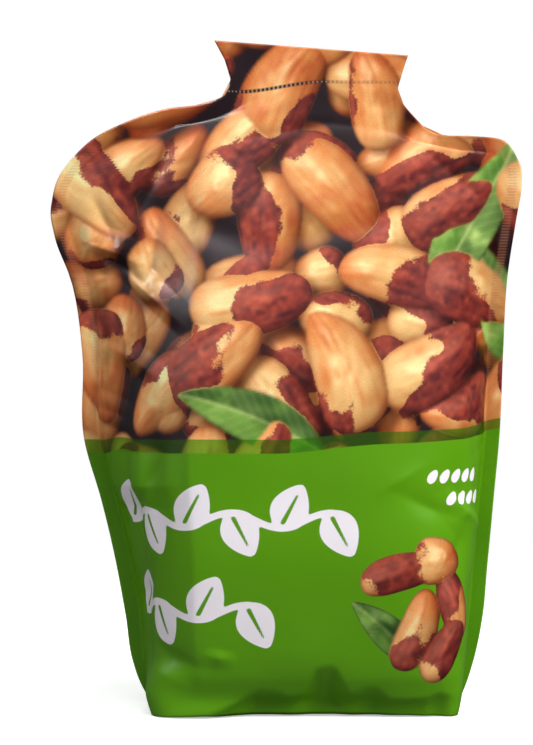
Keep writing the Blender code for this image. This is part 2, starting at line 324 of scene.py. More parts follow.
def body_lines(heights, columns, inset=0.0):
    """x, z, depth and distance along the film, from seam to seam, on one line for each height.
    With u from -1 to 1 across, the depth is half-depth * (1 - |u|^power)^root."""
    left = side_lines(LEFT_X, LEFT_Z, heights, -1)
    right = side_lines(RIGHT_X, RIGHT_Z, heights, 1)
    depth = smooth_between(DEPTH, heights)[:, None] - inset
    power = smooth_between(POWER, heights)[:, None]
    root = smooth_between(ROOT, heights)[:, None]
    fine = np.linspace(-1, 1, LINE_SAMPLES)
    u = (np.sign(fine) * (1 - (1 - np.abs(fine)) ** CORNER_CROWDING))[None, :]
    half = ((right[2] - left[2]) / 2)[:, None] - inset
    x = ((left[2] + right[2]) / 2)[:, None] + half * u
    edge_z = np.where(u < 0, left[3][:, None], right[3][:, None])
    z = heights[:, None] + (edge_z - heights[:, None]) * np.abs(u) ** ROW_BOW
    y = depth * (1 - np.abs(u) ** power) ** root
    steps = np.sqrt(np.diff(x) ** 2 + np.diff(y) ** 2 + np.diff(z) ** 2)
    along = np.concatenate((np.zeros((len(x), 1)), np.cumsum(steps, axis=1)), axis=1)
    equal = along[:, -1:] * np.linspace(0, 1, columns + 1)
    middle = row_interp(np.zeros((len(x), 1)), x, along)
    return [row_interp(equal, along, values) for values in (x, z, y)] + [equal - middle]


def placed(x, y, z):
    """Leans the top back, tilts the header, and turns mm about the base into metres."""
    set_back = SET_BACK * (np.maximum(z - BACK_FROM, 0) / (HEIGHT - BACK_FROM)) ** 2
    tilt = -TILT * x / RIGHT_X[-1] * ramp(z, TILT_FROM, HEIGHT)
    return np.stack(np.broadcast_arrays(x - CENTRE, y + set_back, z + tilt), axis=-1) * MM


# %% [markdown]
# Film that is folded, dropped on its base and filled never lies smooth. Each dent or crease is a
# small entry in a list: where it is, how long and wide it is, how it is turned and how deep. A dent
# is a round bell. A crease has a sharp line in its middle, because film that is pinched keeps a
# fold. A facet is a low tent, a ridge with a flat side above and below it, as on crumpled film.
# %% Dents and creases
# of dents and creases: across, height, half-length, half-width, turn from level in degrees, depth
FRONT_DENTS = (
    (-56, 27.5, 13, 4.5, -22, 0.8),
    (62, 84, 20, 5, 80, 2.2),
    (-66, 100, 30, 5, 97, 1.8),
    (14, 205, 34, 6, 12, 1.4),
    (-50, 208, 30, 7, -20, 1.8),
    (45, 222, 20, 5, 42, 1.4),
)
BACK_DENTS = (
    (50, 30, 16, 5, 28, 2.0),
    (-30, 22, 20, 5, 5, 1.8),
    (-64, 88, 22, 5, 96, 2.0),
    (5, 204, 40, 7, -8, 1.8),
    (40, 215, 22, 6, 20, 1.6),
)
# across, height, half-length, width above and below the ridge, turn, how far out (or in, below 0)
FRONT_FACETS = (
    (-86, 196, 16, 10, 3.5, -22, 3.8),
    (-66, 176, 22, 9, 4, -41, 3.6),
    (-80, 197, 9, 4, 4, 72, 1.8),
    (-56, 26, 15, 3.2, 9.5, -22, -2.1),
    (-36, 26, 8, 3.5, 5, -8, 1.3),
    (-74, 148, 16, 8, 4, -30, 1.4),
    (-76, 95, 24, 15, 9, 6, 3.0),
    (67, 85, 14, 3.5, 9, -50, 2.6),
)
FRONT_CREASES = (
    (-71, 52, 16, 2.6, 70, 1.6),
    (-76, 78, 14, 2.2, 108, 1.4),
    (-70, 94, 18, 3.0, 60, 1.3),
    (60, 64, 13, 2.6, 66, 2.2),
    (69, 50, 20, 2.2, 93, 1.0),
    (52, 88, 12, 3.5, -24, 1.5),
    (40, 100, 10, 3.0, 30, -0.8),
    (72, 120, 26, 2.4, 92, 1.2),
    (-92, 184, 13, 2.8, 64, 2.0),
    (-66, 198, 14, 2.8, 78, 2.0),
    (-88, 210, 13, 2.8, -66, 2.0),
    (-76, 186, 13, 2.6, -40, 1.8),
    (-62, 232, 20, 2.6, 62, 1.4),
    (60, 232, 20, 2.8, -40, 1.3),
    (22, 250, 26, 2.4, -6, 1.0),
    (-12, 247, 22, 2.4, 10, 0.9),
)
BACK_CREASES = (
    (48, 36, 15, 2.8, 24, 1.5),
    (-50, 30, 14, 2.6, -30, 1.2),
    (-66, 64, 16, 2.4, 104, 0.9),
    (66, 90, 18, 2.6, 84, 1.1),
    (-74, 150, 18, 2.4, 96, 0.9),
    (70, 196, 16, 3.0, -30, 1.3),
    (-60, 205, 22, 2.8, 35, 1.1),
    (10, 232, 34, 3.0, -5, 1.0),
    (0, 11, 40, 3.0, 1, 1.1),
)
DENTS_FROM = (6.0, 18.0)
FOLD_ROUND = 0.35  # how far a crease's line is rounded off, as a share of its half-width


def dented(x, z, dents):
    """Sum of the dents' bells, deep * exp(-(along / long)^2 - (aside / wide)^2)."""
    total = np.zeros_like(x)
    for across, height, long, wide, turn, deep in dents:
        along, aside = turned(x - across, z - height, turn)
        total += deep * np.exp(-((along / long) ** 2) - (aside / wide) ** 2)
    return total * ramp(z, *DENTS_FROM)


def creased(x, z, creases):
    """Sum of the creases, deep * exp(-(along / long)^2 - |aside| / wide), the line rounded off."""
    total = np.zeros_like(x)
    for across, height, long, wide, turn, deep in creases:
        along, aside = turned(x - across, z - height, turn)
        sharp = np.sqrt((aside / wide) ** 2 + FOLD_ROUND**2) - FOLD_ROUND
        total += deep * np.exp(-((along / long) ** 2) - sharp)
    return total


# %% [markdown]
# Irregular things need a smooth random pattern. A grid of seeded random numbers with soft steps in
# between gives one, and a few such patterns, each finer and weaker than the one before, give a
# ragged one. The nuts behind the film press soft lumps into it, and beside the side seals the film
# gathers in short level puckers, because a round body is held by a straight seam.
# %% Random patterns, lumps and puckers
NOISE_SIDE = 64


def smooth_noise(x, y, seed):
    """Seeded random numbers from -1 to 1 on whole x and y, with ramps between them."""
    lattice = np.random.default_rng(seed).uniform(-1, 1, (NOISE_SIDE, NOISE_SIDE))
    ix, iy = np.floor(x).astype(int), np.floor(y).astype(int)
    fx, fy = ramp(x - ix, 0, 1), ramp(y - iy, 0, 1)
    x0, x1, y0, y1 = (n % NOISE_SIDE for n in (ix, ix + 1, iy, iy + 1))
    low = lattice[y0, x0] * (1 - fx) + lattice[y0, x1] * fx
    high = lattice[y1, x0] * (1 - fx) + lattice[y1, x1] * fx
    return low * (1 - fy) + high * fy


def ragged_noise(x, y, seed, octaves=4, fade=0.55):
    """Smooth noise at 1, 2, 4 and more times the fineness, each weaker than the last by fade."""
    total, size = np.zeros_like(x), 1.0
    for k in range(octaves):
        total += size * smooth_noise(x * 2**k + 17.3 * k, y * 2**k + 9.1 * k, seed + k)
        size *= fade
    return total


LUMP_SIZE, LUMP_HIGH = (30.0, 24.0), 0.75
PUCKER_REACH, PUCKER_EVERY, PUCKER_DEEP, PUCKER_WANDER = 16.0, 11.0, 0.9, 5.0


def lumps(across, up, seed):
    """Nuts pressing from inside: smooth noise, 30 mm across and 24 mm up from one to the next."""
    return LUMP_HIGH * smooth_noise(across / LUMP_SIZE[0], up / LUMP_SIZE[1], seed)


def puckers(from_seam, up, seed):
    """Short level folds that start at the seam and die out over PUCKER_REACH mm. Their spacing
    wanders, because the height is shifted by smooth noise before the wave is taken."""
    wander = up + PUCKER_WANDER * smooth_noise(up / 23.0, from_seam * 0, seed) + 0.25 * from_seam
    wave = np.abs(np.sin(np.pi * wander / PUCKER_EVERY)) - 0.6
    size = 0.5 + 0.5 * smooth_noise(up / 31.0, from_seam * 0 + 5.0, seed + 1)
    near = ramp(from_seam, 0.5, 4.0) * np.exp(-np.maximum(from_seam - 4, 0) / PUCKER_REACH * 2)
    return PUCKER_DEEP * wave * size * near


# %% [markdown]
# Now the whole sheet of one side. The lines of film get their seals on both ends, then every point
# is moved along the surface's own direction by the dents, creases, lumps and puckers. All of them
# fade out at the seals, where the two sheets are one, and there both sheets follow the same gentle
# wave. The left part of the front is turned away a little behind a soft upright ridge.
# %% Sheets of film
FILM, SEAL_GAP = 0.6, 0.2
SEAL_FILM = 0.25
SEAL_COLUMNS = 8
WAVE_HIGH = 0.7
RIDGE_AT, RIDGE_SLOPE, RIDGE_DEEP, RIDGE_ROUND = -49.0, 0.36, 9.0, 1.0
RIDGE_BENDS = ((2.5, 110, 60), (2, 45, 5), (5, 150, 215))  # to the right by, from height, to height
EASE_PULL, EASE_REACH = 1.4, 9.0
# across, half-width and height of the hills above the band in which the front's foot turns under
TUCK_HILLS = ((8, 8, 14), (27, 7, 4), (-18, 9, 2))
TUCK_BAND, TUCK_ROUND, TUCK_MOST = 9.5, 0.8, 10.0
TUCK_STEEP, TUCK_GENTLE = 0.6, 0.55  # mm in for each mm down, and in the band both together
TUCK_LEFT, TUCK_RIGHT = (-62, -46), (70, 52)


def rising(distance, rounding):
    """Zero below zero and the distance itself above it, with the corner rounded off."""
    return (distance + np.sqrt(distance**2 + rounding**2)) / 2


def tucked(x, z):
    """How far the front's lowest edge turns under: in the band near the floor it slopes in steeply,
    and in the hills above it more gently, down to TUCK_MOST at the most."""
    band = (TUCK_BAND + 1.3 * smooth_noise(x / 7, x * 0, 31)) * ramp(x, -44, -18)
    hills = sum(high * np.exp(-np.abs((x - at) / wide) ** 3) for at, wide, high in TUCK_HILLS)
    under = TUCK_GENTLE * rising(band + hills - z, TUCK_ROUND)
    under = under + TUCK_STEEP * rising(band - z, TUCK_ROUND)
    deep = TUCK_MOST * (1 - np.exp(-under / TUCK_MOST))
    return deep * ramp(x, *TUCK_LEFT) * ramp(x, *TUCK_RIGHT)


def turned_away(x, z, inside):
    """How far the front's left part lies behind the rest: a ridge runs up at RIDGE_AT, and left of
    it the film falls away at RIDGE_SLOPE, less and less, and comes back towards the seam."""
    left = RIDGE_AT + climbed(z, RIDGE_BENDS) - x
    fall = RIDGE_SLOPE * rising(left, RIDGE_ROUND)
    deep = RIDGE_DEEP * (0.05 + 0.95 * ramp(z, 250, 120))
    return deep * (1 - np.exp(-fall / deep)) * ramp(inside, 2, 24) * ramp(z, 252, 215)


def faceted(x, z, facets):
    """Sum of the tents: deep * (1 - |along| / long) * (1 - aside / wide), with one width above the
    ridge and another below it. Their sides are flat, so each shines or darkens as a whole."""
    total = np.zeros_like(x)
    for across, height, long, above, below, turn, deep in facets:
        along, aside = turned(x - across, z - height, turn)
        share = np.where(aside > 0, aside / above, -aside / below)
        total += deep * np.maximum(1 - np.abs(along) / long, 0) * np.maximum(1 - share, 0)
    return total


def eased(x, y, z, inside):
    """Beside the seal the film flares out to meet it: it is drawn to the middle by a bump that is
    highest at EASE_REACH mm inside the seam, and its first few mm stay low."""
    share = np.maximum(inside, 0) / EASE_REACH
    full = ramp(y.max(axis=1, keepdims=True), 6, 30) * ramp(z, 2, 22)
    x = x - np.sign(x) * EASE_PULL * share * np.exp(1 - share) * full
    low = 1 - 0.5 * ramp(inside, 10, 1) * full - 0.3 * ramp(inside, 7, 0) * ramp(z, 225, 240)
    return x, y * low


def sheet_lines(heights, columns):
    """A flat net of the sheet: x, z, depth, and for each point its distance across and up the film
    and its distance inside the seam (negative on the seal)."""
    body = body_lines(heights, columns)
    left_seam, right_seam = body[-1][:, :1], body[-1][:, -1:]
    share = np.linspace(0, 1, SEAL_COLUMNS + 1)[1:]
    seals = []
    for side, edge_x, edge_z, seam in (
        (-1, LEFT_X, LEFT_Z, left_seam),
        (1, RIGHT_X, RIGHT_Z, right_seam),
    ):
        ex, ez, sx, sz = (v[:, None] for v in side_lines(edge_x, edge_z, heights, side))
        wide = np.hypot(ex - sx, ez - sz)
        flat = np.zeros((len(heights), SEAL_COLUMNS))
        seal = (sx + (ex - sx) * share, sz + (ez - sz) * share, flat, seam + side * wide * share)
        seals.append([values[:, ::side] for values in seal])
    x, z, y, across = (np.hstack(parts) for parts in zip(seals[0], body, seals[1]))
    inside = np.minimum(across - left_seam, right_seam - across)
    return x, z, y, across, film_up(z), inside


def outward(points):
    """Unit normals of a grid of points: the cross product of its two directions."""
    down = np.gradient(points, axis=0)
    over = np.gradient(points, axis=1)
    normal = np.cross(down, over)
    return normal / np.maximum(np.linalg.norm(normal, axis=-1, keepdims=True), 1e-9)


def folds(side, x, z, across, up, inside, creases, seed):
    """How far each point moves along the surface's own direction, by all that isn't a dent."""
    push = lumps(across, up, seed) * ramp(up, 8, 30) - creased(x, z, creases)
    push += puckers(inside, up, seed + 5) * ramp(up, 12, 30)
    if side < 0:
        push += faceted(x, z, FRONT_FACETS)
        push -= turned_away(x, z, np.where(x < 0, inside, 99)) * ramp(up, 6, 26)
    return push


def seal_wave(across, up, inside):
    """The gentle wave of the seals to the front and to the back, which both sheets follow."""
    wave = WAVE_HIGH * (smooth_noise(up / 26.0, across / 90.0, 71) + 0.5 * np.sin(up / 9.0))
    return wave * ramp(inside, 12, -8) * ramp(up, 4, 30)


def both_faces(points, normal, inside):
    """Outer and inner face. The inner one is the surface moved out by half the gap in the seal.
    The outer one lies the film's thickness further out along the normal. In the seal the film is
    thinner, and there its outer face lies straight out from the inner one."""
    inner = points + (0, SEAL_GAP / 2, 0)
    thick = SEAL_FILM + (FILM - SEAL_FILM) * ramp(inside, 0, 6) * ramp(points[..., 1], 0.2, 3)
    sealed = ramp(inside, 6, 1)[..., None]
    return inner + (normal * (1 - sealed) + sealed * (0, 1, 0)) * thick[..., None], inner


def make_sheet(side, heights, columns, dents, creases, arch, seed):
    """Outer and inner surface of one sheet in metres, with the flat film's measures. side is -1
    for the front, +1 for the back."""
    x, z, y, across, up, inside = sheet_lines(heights, columns)
    deepest = y.max(axis=1, keepdims=True)
    x, y = eased(x, y, z, inside)
    y = np.maximum(y - dented(x, z, dents) * y / deepest, 0)
    if side < 0:
        y = y - tucked(x, z) * y / deepest
    z = z + arch * ramp(z, ARCH_TOP, 0) * np.exp(-((x / ARCH_HALF) ** 4)) * y / deepest
    points = np.stack((x, y, z), axis=-1)
    normal = outward(points)
    free = ramp(inside, 0, 9) * ramp(up, 3, 12) * ramp(y, 0.3, 5)
    push = folds(side, x, z, across, up, inside, creases, seed) * free
    points = points + normal * push[..., None]
    points[..., 1] = np.maximum(points[..., 1], 0)
    wave = seal_wave(across, up, inside)
    outer, inner = (
        placed(face[..., 0], side * face[..., 1] + wave, face[..., 2])
        for face in both_faces(points, normal, inside)
    )
    return outer, inner, across, up, inside


# %% [markdown]
# A sheet of film is a closed solid, however thin, so it gets an inner face too. The inside isn't
# seen, so the inner face takes only every fourth point. Along the rim each of its edges is joined
# to four fine edges by one narrow face with seven corners. The bottom film and the nuts are closed
# in another way: they are made of rings, with a fan of triangles round a pole at each end.
# %% Closing a surface
COARSE = 4


def grid_quads(index, turn):
    """Quads of a grid of point numbers. turn reverses them, so that they face the other way."""
    quads = np.stack((index[:-1, :-1], index[:-1, 1:], index[1:, 1:], index[1:, :-1]), axis=-1)
    quads = quads.reshape(-1, 4)
    return quads[:, ::-1] if turn else quads


def rim_faces(fine, coarse):
    """A seven-cornered face for each coarse edge: its two ends and the five fine points beside."""
    first = np.arange(len(coarse) - 1)
    five = fine[first[:, None] * COARSE + np.arange(COARSE + 1)]
    return np.column_stack((five, coarse[1:], coarse[:-1]))


def closed_sheet(outer, inner, turn):
    """Points and faces of the solid between a fine outer grid and every fourth inner point."""
    rows, columns = outer.shape[:2]
    fine = np.arange(rows * columns).reshape(rows, columns)
    thin = inner[::COARSE, ::COARSE]
    coarse = np.arange(thin.shape[0] * thin.shape[1]).reshape(thin.shape[:2]) + fine.size
    rim = [
        rim_faces(fine[0][::-1], coarse[0][::-1]),
        rim_faces(fine[-1], coarse[-1]),
        rim_faces(fine[:, 0], coarse[:, 0]),
        rim_faces(fine[:, -1][::-1], coarse[:, -1][::-1]),
    ]
    rim = np.concatenate(rim)
    faces = [grid_quads(fine, turn), grid_quads(coarse, not turn), rim[:, ::-1] if turn else rim]
    points = np.concatenate((outer.reshape(-1, 3), thin.reshape(-1, 3)))
    return points, faces


def closed_rings(front, back):
    """Lines of the front, each followed by the same line of the back from its other end."""
    return np.concatenate((front[:, :-1], back[:, :0:-1]), axis=1)


def even_rings(shares, heights, reach, count):
    """Rings at equal steps along a profile, which is given by its shares of the reach and by its
    heights: for each ring the way along the profile, the share and the height."""
    steps = np.hypot(np.diff(shares) * reach, np.diff(heights))
    way = np.concatenate(([0], np.cumsum(steps)))
    at = np.linspace(0, way[-1], count)
    return at, np.interp(at, way, shares), np.interp(at, way, heights)


def ring_numbers(rings, columns, first=0):
    """Point numbers of rings, with each ring's first point again at its end."""
    numbers = first + np.arange(rings * columns).reshape(rings, columns)
    return np.column_stack((numbers, numbers[:, :1]))


def fan_faces(pole, ring, turn):
    """Triangles from a pole to each edge of a ring. turn makes them face the other way."""
    one, next_one = (ring[1:], ring[:-1]) if turn else (ring[:-1], ring[1:])
    return np.column_stack((np.full(len(one), pole), one, next_one))


def make_mesh(name, points, faces):
    """A mesh from an array of points and a list of arrays of faces with equally many corners."""
    mesh = bpy.data.meshes.new(name)
    mesh.vertices.add(len(points))
    mesh.vertices.foreach_set("co", points.astype(np.float32).ravel())
    corners = np.concatenate([part.ravel() for part in faces]).astype(np.int32)
    sizes = np.concatenate([np.full(len(part), part.shape[1]) for part in faces])
    starts = np.concatenate(([0], np.cumsum(sizes)[:-1])).astype(np.int32)
    mesh.loops.add(len(corners))
    mesh.loops.foreach_set("vertex_index", corners)
    mesh.polygons.add(len(sizes))
    mesh.polygons.foreach_set("loop_start", starts)
    mesh.update(calc_edges=True)
    mesh.validate()
    mesh.shade_smooth()
    return mesh


def add_piece(name, mesh, finish, node):
    """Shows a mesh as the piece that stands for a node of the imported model."""
    mesh.materials.append(finish)
    piece = bpy.data.objects.new(name, mesh)
    bpy.context.scene.collection.objects.link(piece)
    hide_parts(node)
    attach(piece, "root")
    print(name, "has", sum(len(p.vertices) - 2 for p in mesh.polygons), "triangles")


def keep_on_points(mesh, name, values):
    """Stores a number or a red, green, blue on each point of a mesh, for its material to read."""
    kind, key = ("FLOAT", "value") if values.ndim == 1 else ("FLOAT_COLOR", "color")
    if values.ndim == 2:
        values = np.column_stack((values, np.ones(len(values))))
    layer = mesh.attributes.new(name, kind, "POINT")
    layer.data.foreach_set(key, values.astype(np.float32).ravel())


def keep_flat_film(mesh, across, up):
    """The UV map: millimetres across and up the flat film, with 100 mm to one unit."""
    layer = mesh.uv_layers.new(name="flat_film")
    corner = np.empty(len(mesh.loops), np.int32)
    mesh.loops.foreach_get("vertex_index", corner)
    flat = np.stack((across, up), axis=-1)[corner] / 100
    layer.data.foreach_set("uv", flat.astype(np.float32).ravel())


def all_points(outer_values):
    """Values of a fine grid, then those of every fourth point again for the inner face."""
    thin = outer_values[::COARSE, ::COARSE]
    tail = outer_values.shape[2:]
    return np.concatenate((outer_values.reshape(-1, *tail), thin.reshape(-1, *tail)))


# %% [markdown]
# The print is painted flat before it is put on the film, as on a press. The canvas is a raster of
# half-millimetre steps in the flat film's measures. Paint is kept as linear light, so a small
# helper turns the everyday 0 to 255 values into it.
# %% Flat canvas
PRINT_STEP = 0.5
PRINT_HALF, PRINT_TOP = 130.0, 312.0
print_across = np.arange(-PRINT_HALF, PRINT_HALF + PRINT_STEP, PRINT_STEP)
print_up = np.arange(0, PRINT_TOP + PRINT_STEP, PRINT_STEP)
PRINT_ACROSS, PRINT_UP = np.meshgrid(print_across, print_up)


def paint(red, green, blue):
    """Linear light of a colour given as it looks on a screen, from 0 to 255."""
    c = np.array((red, green, blue)) / 255
    return np.where(c <= 0.04045, c / 12.92, ((c + 0.055) / 1.055) ** 2.4)


def mixed(a, b, share):
    """The colour that lies the share of the way from a to b."""
    return a + (b - a) * np.asarray(share)[..., None]


def from_canvas(values, across, up):
    """Reads a canvas between its raster points, in proportion to the distance."""
    i = np.clip(up / PRINT_STEP, 0, values.shape[0] - 1.001)
    j = np.clip((across + PRINT_HALF) / PRINT_STEP, 0, values.shape[1] - 1.001)
    i0, j0 = i.astype(int), j.astype(int)
    fi, fj = i - i0, j - j0
    if values.ndim == 3:
        fi, fj = fi[..., None], fj[..., None]
    low = values[i0, j0] * (1 - fj) + values[i0, j0 + 1] * fj
    high = values[i0 + 1, j0] * (1 - fj) + values[i0 + 1, j0 + 1] * fj
    return low * (1 - fi) + high * fi


def blurred(values, radius):
    """Mean over a square of that many mm to each side, taken twice, from running sums."""
    n = int(radius / PRINT_STEP)
    for axis in (0, 1, 0, 1):
        padded = np.concatenate((
            np.repeat(np.take(values, [0], axis), n + 1, axis),
            values,
            np.repeat(np.take(values, [-1], axis), n, axis),
        ), axis)
        sums = np.cumsum(padded, axis)
        size = values.shape[axis]
        top = np.take(sums, np.arange(2 * n + 1, 2 * n + 1 + size), axis)
        values = (top - np.take(sums, np.arange(size), axis)) / (2 * n + 1)
    return values


def softened(values):
    """Quarter, half, quarter of each three neighbours, both ways. Without it a slanting edge shows
    steps, because the mesh's points lie further apart than the raster's."""
    for axis in (0, 1):
        ends = [np.take(values, [k], axis) for k in (0, -1)]
        padded = np.concatenate((ends[0], values, ends[1]), axis)
        size = values.shape[axis]
        three = [np.take(padded, np.arange(k, k + size), axis) for k in range(3)]
        values = (three[0] + 2 * three[1] + three[2]) / 4
    return values


print("canvas:", PRINT_ACROSS.shape[1], "by", PRINT_ACROSS.shape[0])

# %% [markdown]
# A shelled kernel is drawn as a low relief: an oval whose middle line bends and whose one end is
# slimmer, with its height falling off towards the rim like a pillow's. Kernels are laid on the
# canvas one by one, and each point keeps the highest, so they overlap as in a real heap. A leaf is
# laid in the same way, as a thin pointed shape with a groove along its middle.
# %% Reliefs on the canvas
NOTHING, KERNEL, LEAF = 0, 1, 2
KERNEL_POWER, KERNEL_HIGH, ROUGHENED = 2.3, 0.78, 0.10


def empty_canvas():
    """What is kept for each raster point: the relief's height and slopes, the place on the kernel
    or leaf (a, b, rim, skin, tone, kind), and how far inside the outline of all that is laid it
    lies (cover)."""
    names = ("height", "slope_x", "slope_y", "a", "b", "rim", "skin", "tone", "kind", "cover")
    canvas = {name: np.zeros_like(PRINT_ACROSS) for name in names}
    canvas["cover"] -= 5
    return canvas


def window(across, up, reach):
    """Slices of the canvas round a point, and each raster point's place from it in mm."""
    i, j = int(up / PRINT_STEP), int((across + PRINT_HALF) / PRINT_STEP)
    n = int(reach / PRINT_STEP) + 1
    rows = slice(max(i - n, 0), max(i + n, 0))
    columns = slice(max(j - n, 0), max(j + n, 0))
    return (rows, columns), PRINT_ACROSS[rows, columns] - across, PRINT_UP[rows, columns] - up


def lay(canvas, where, top, inside, **values):
    """Puts a relief on the canvas wherever it is inside its outline and above what is there. The
    distance to the outline of all that was laid is kept too, negative outside."""
    canvas["cover"][where] = np.maximum(canvas["cover"][where], values["rim"])
    shown = inside & (top > canvas["height"][where])
    slope_y, slope_x = np.gradient(np.where(inside, top, canvas["height"][where]), PRINT_STEP)
    values.update(height=top, slope_x=slope_x, slope_y=slope_y)
    for name, value in values.items():
        canvas[name][where] = np.where(shown, value, canvas[name][where])


def lay_kernel(canvas, across, up, long, wide, turn, lift, rng, bare):
    """One kernel: with a along and b aside, both 1 at the rim, its top is about
    lift + high * (1 - |a|^power - |b|^power)^0.5. The skin is left where a slanting line and ragged
    noise together are above 0, and its value there is about its distance from the skin's edge."""
    where, dx, dy = window(across, up, long * 1.15)
    if dx.size < 9:
        return
    bend, taper, seed = rng.uniform(-0.28, 0.28), rng.uniform(0.05, 0.3), int(rng.integers(1 << 20))
    along, aside = turned(dx, dy, turn)
    a, b = along / long, aside / wide
    b = (b + bend * (a * a - 0.35)) / (1 - taper * np.clip(a, -1, 1))
    rough = ragged_noise(a * 1.6 + 20, b * 1.3 + 20, seed, 3)
    r = np.abs(a) ** KERNEL_POWER + np.abs(b) ** KERNEL_POWER + 0.03 * rough
    inside = r < 1
    pillow = np.sqrt(np.maximum(1 - r, 0))
    ridge = 0.10 * np.exp(-(((b - 0.25 * a) / 0.35) ** 2))
    tilt = rng.uniform(-0.18, 0.18)
    high = KERNEL_HIGH * wide
    top = lift + high * pillow * (1 + ROUGHENED * rough + ridge) + tilt * a * long
    lean = rng.uniform(0, 2 * np.pi)
    edge = np.cos(lean) * a + 1.1 * np.sin(lean) * b - bare
    edge = edge + 0.5 * ragged_noise(a * 1.4 + 7, b * 1.1 + 7, seed + 9, 4, 0.45)
    lay(
        canvas, where, top, inside,
        a=a, b=b, rim=(1 - np.sqrt(np.maximum(r, 0))) * wide, skin=edge * wide * 0.6,
        tone=np.full_like(a, rng.uniform(0, 1)), kind=np.full_like(a, KERNEL),
    )


def lay_leaf(canvas, across, up, long, wide, turn, lift, rng):
    """One leaf: half as wide as wide * (1 - a^2)^0.8 at a share a along it, with its two halves
    rising from the midrib and a slight curl."""
    where, dx, dy = window(across, up, long * 1.1)
    along, aside = turned(dx, dy, turn)
    a, b = along / long, aside / wide
    b = b + rng.uniform(-0.35, 0.35) * (a * a - 0.3)
    half = np.maximum(1 - np.clip(a, -1, 1) ** 2, 0) ** 0.8 * (1 - 0.25 * a)
    inside = (np.abs(b) < half) & (np.abs(a) < 1)
    share = np.abs(b) / np.maximum(half, 0.05)
    wavy = smooth_noise(a * 3 + 31, b * 2 + 31, int(rng.integers(1 << 20)))
    top = lift + 3.2 * np.abs(b) * (1 - 0.5 * share) + 1.3 * wavy - 2.0 * a * a
    lay(
        canvas, where, top, inside,
        a=a, b=b, rim=(half - np.abs(b)) * wide, skin=np.full_like(a, -9.0),
        tone=np.full_like(a, rng.uniform(0, 1)), kind=np.full_like(a, LEAF),
    )


# %% [markdown]
# The heap is laid in three layers on staggered rows, with every kernel a little out of place and
# turned at random. The random numbers are seeded, so the print is the same each time. A few round
# kernels lie between the long ones, and slender leaves are tucked in on the right.
# %% Layout of the heap
# lift, gap across, gap up, half-length and half-width of long kernels
LAYERS = (
    (1.0, 36.0, 29.0, 21.0, 11.5),
    (9.0, 42.0, 35.0, 24.0, 13.0),
    (17.0, 50.0, 42.0, 26.0, 14.0),
)
HEAP_LEFT, HEAP_RIGHT, HEAP_FROM, HEAP_TO = -118, 122, 100.0, 312.0
ROUND_SHARE = 0.22
PALE_ABOVE, DARK_RIGHT_OF = 248.0, 42.0


def lay_heap(canvas, rng):
    """The three layers of kernels. Each kernel draws its place, size, form, bareness, turn and
    height, in this order."""
    for lift, gap_across, gap_up, long, wide in LAYERS:
        ups = np.arange(HEAP_FROM, HEAP_TO, gap_up)
        for row, up in enumerate(ups):
            first = HEAP_LEFT + (row % 2) * gap_across / 2
            for across in np.arange(first, HEAP_RIGHT, gap_across):
                jitter = rng.uniform(-0.22, 0.22, 2) * (gap_across, gap_up)
                size = rng.uniform(0.9, 1.1)
                is_round = rng.uniform() < ROUND_SHARE
                bare = rng.uniform(-0.25, 1.1)
                if up > PALE_ABOVE:
                    bare = rng.uniform(0.45, 1.1)
                elif across > DARK_RIGHT_OF:
                    bare = rng.uniform(-0.9, 0.6)
                lay_kernel(
                    canvas, across + jitter[0], up + jitter[1],
                    size * (wide * 1.15 if is_round else long), size * wide,
                    rng.uniform(0, 360), lift + rng.uniform(-2, 2), rng, bare,
                )


# across, up, half-length, half-width, turn in degrees
HEAP_LEAVES = (
    (74, 214, 40, 13, 62),
    (90, 176, 34, 11, 118),
    (-22, 126, 34, 11, 158),
)
# across, up, half-length, half-width, turn in degrees, bareness of skin from -1 to 1
LOWER_KERNELS = (
    (39, 62, 17, 7.8, 14, -0.9),
    (63, 49, 16, 7.6, 106, -0.3),
    (46, 38, 18, 8.2, 70, 0.3),
    (59, 30, 16, 7.4, 56, -0.9),
    (56, 67, 11, 9.5, 0, 0.7),
)
LOWER_LEAF = (33, 38, 19, 7.0, 136)
FIELD_CUT = 104.0


def lay_picture(seed, with_group):
    """A whole picture: heap and leaves above, and a small group of kernels on the plain field."""
    rng = np.random.default_rng(seed)
    canvas = empty_canvas()
    lay_heap(canvas, rng)
    for across, up, long, wide, turn in HEAP_LEAVES:
        lay_leaf(canvas, across, up, long, wide, turn, 24.0, rng)
    below = PRINT_UP < FIELD_CUT
    canvas["cover"][below] = -5
    for name in ("height", "kind", "slope_x", "slope_y"):
        canvas[name][below] = 0
    if with_group:
        lay_leaf(canvas, *LOWER_LEAF, 4.0, rng)
        for k, (across, up, long, wide, turn, bare) in enumerate(LOWER_KERNELS):
            lay_kernel(canvas, across, up, long, wide, turn, 5.0 + 1.5 * k, rng, bare)
    return canvas


# %% [markdown]
# The picture's own light comes from its upper left. Three things make a painted relief look round:
# brightness by how far the surface turns towards the light, soft shadows that are found by walking
# towards the light and looking for anything higher, and a general darkening of whatever lies deep
# between higher neighbours. Kernel flesh goes from cream to orange, the skin is mottled dark red.
# %% Light in the picture
PICTURE_LIGHT = np.array((-0.42, 0.40, 0.81))
SHADOW_STEPS, SHADOW_STEP, SHADOW_SOFT, SHADOW_DARK = 14, 1.0, 0.35, 0.72
SUNK_REACH, SUNK_DEEP, SUNK_DARK = 7.0, 9.0, 0.75
STEEPEST, RIM_REACH = 2.5, 2.2
CREAM, TAN, ORANGE = paint(255, 208, 137), paint(241, 158, 88), paint(212, 97, 48)
SKIN_DEEP, SKIN_WARM, SKIN_PALE = paint(80, 26, 34), paint(172, 64, 48), paint(216, 114, 84)
# dark of the gaps between kernels: printed shade in the picture, painted shade on the nut heap
GAP_SHADE = paint(46, 28, 36)
LEAF_DEEP, LEAF_MID, LEAF_PALE = paint(48, 92, 30), paint(98, 150, 44), paint(196, 214, 130)
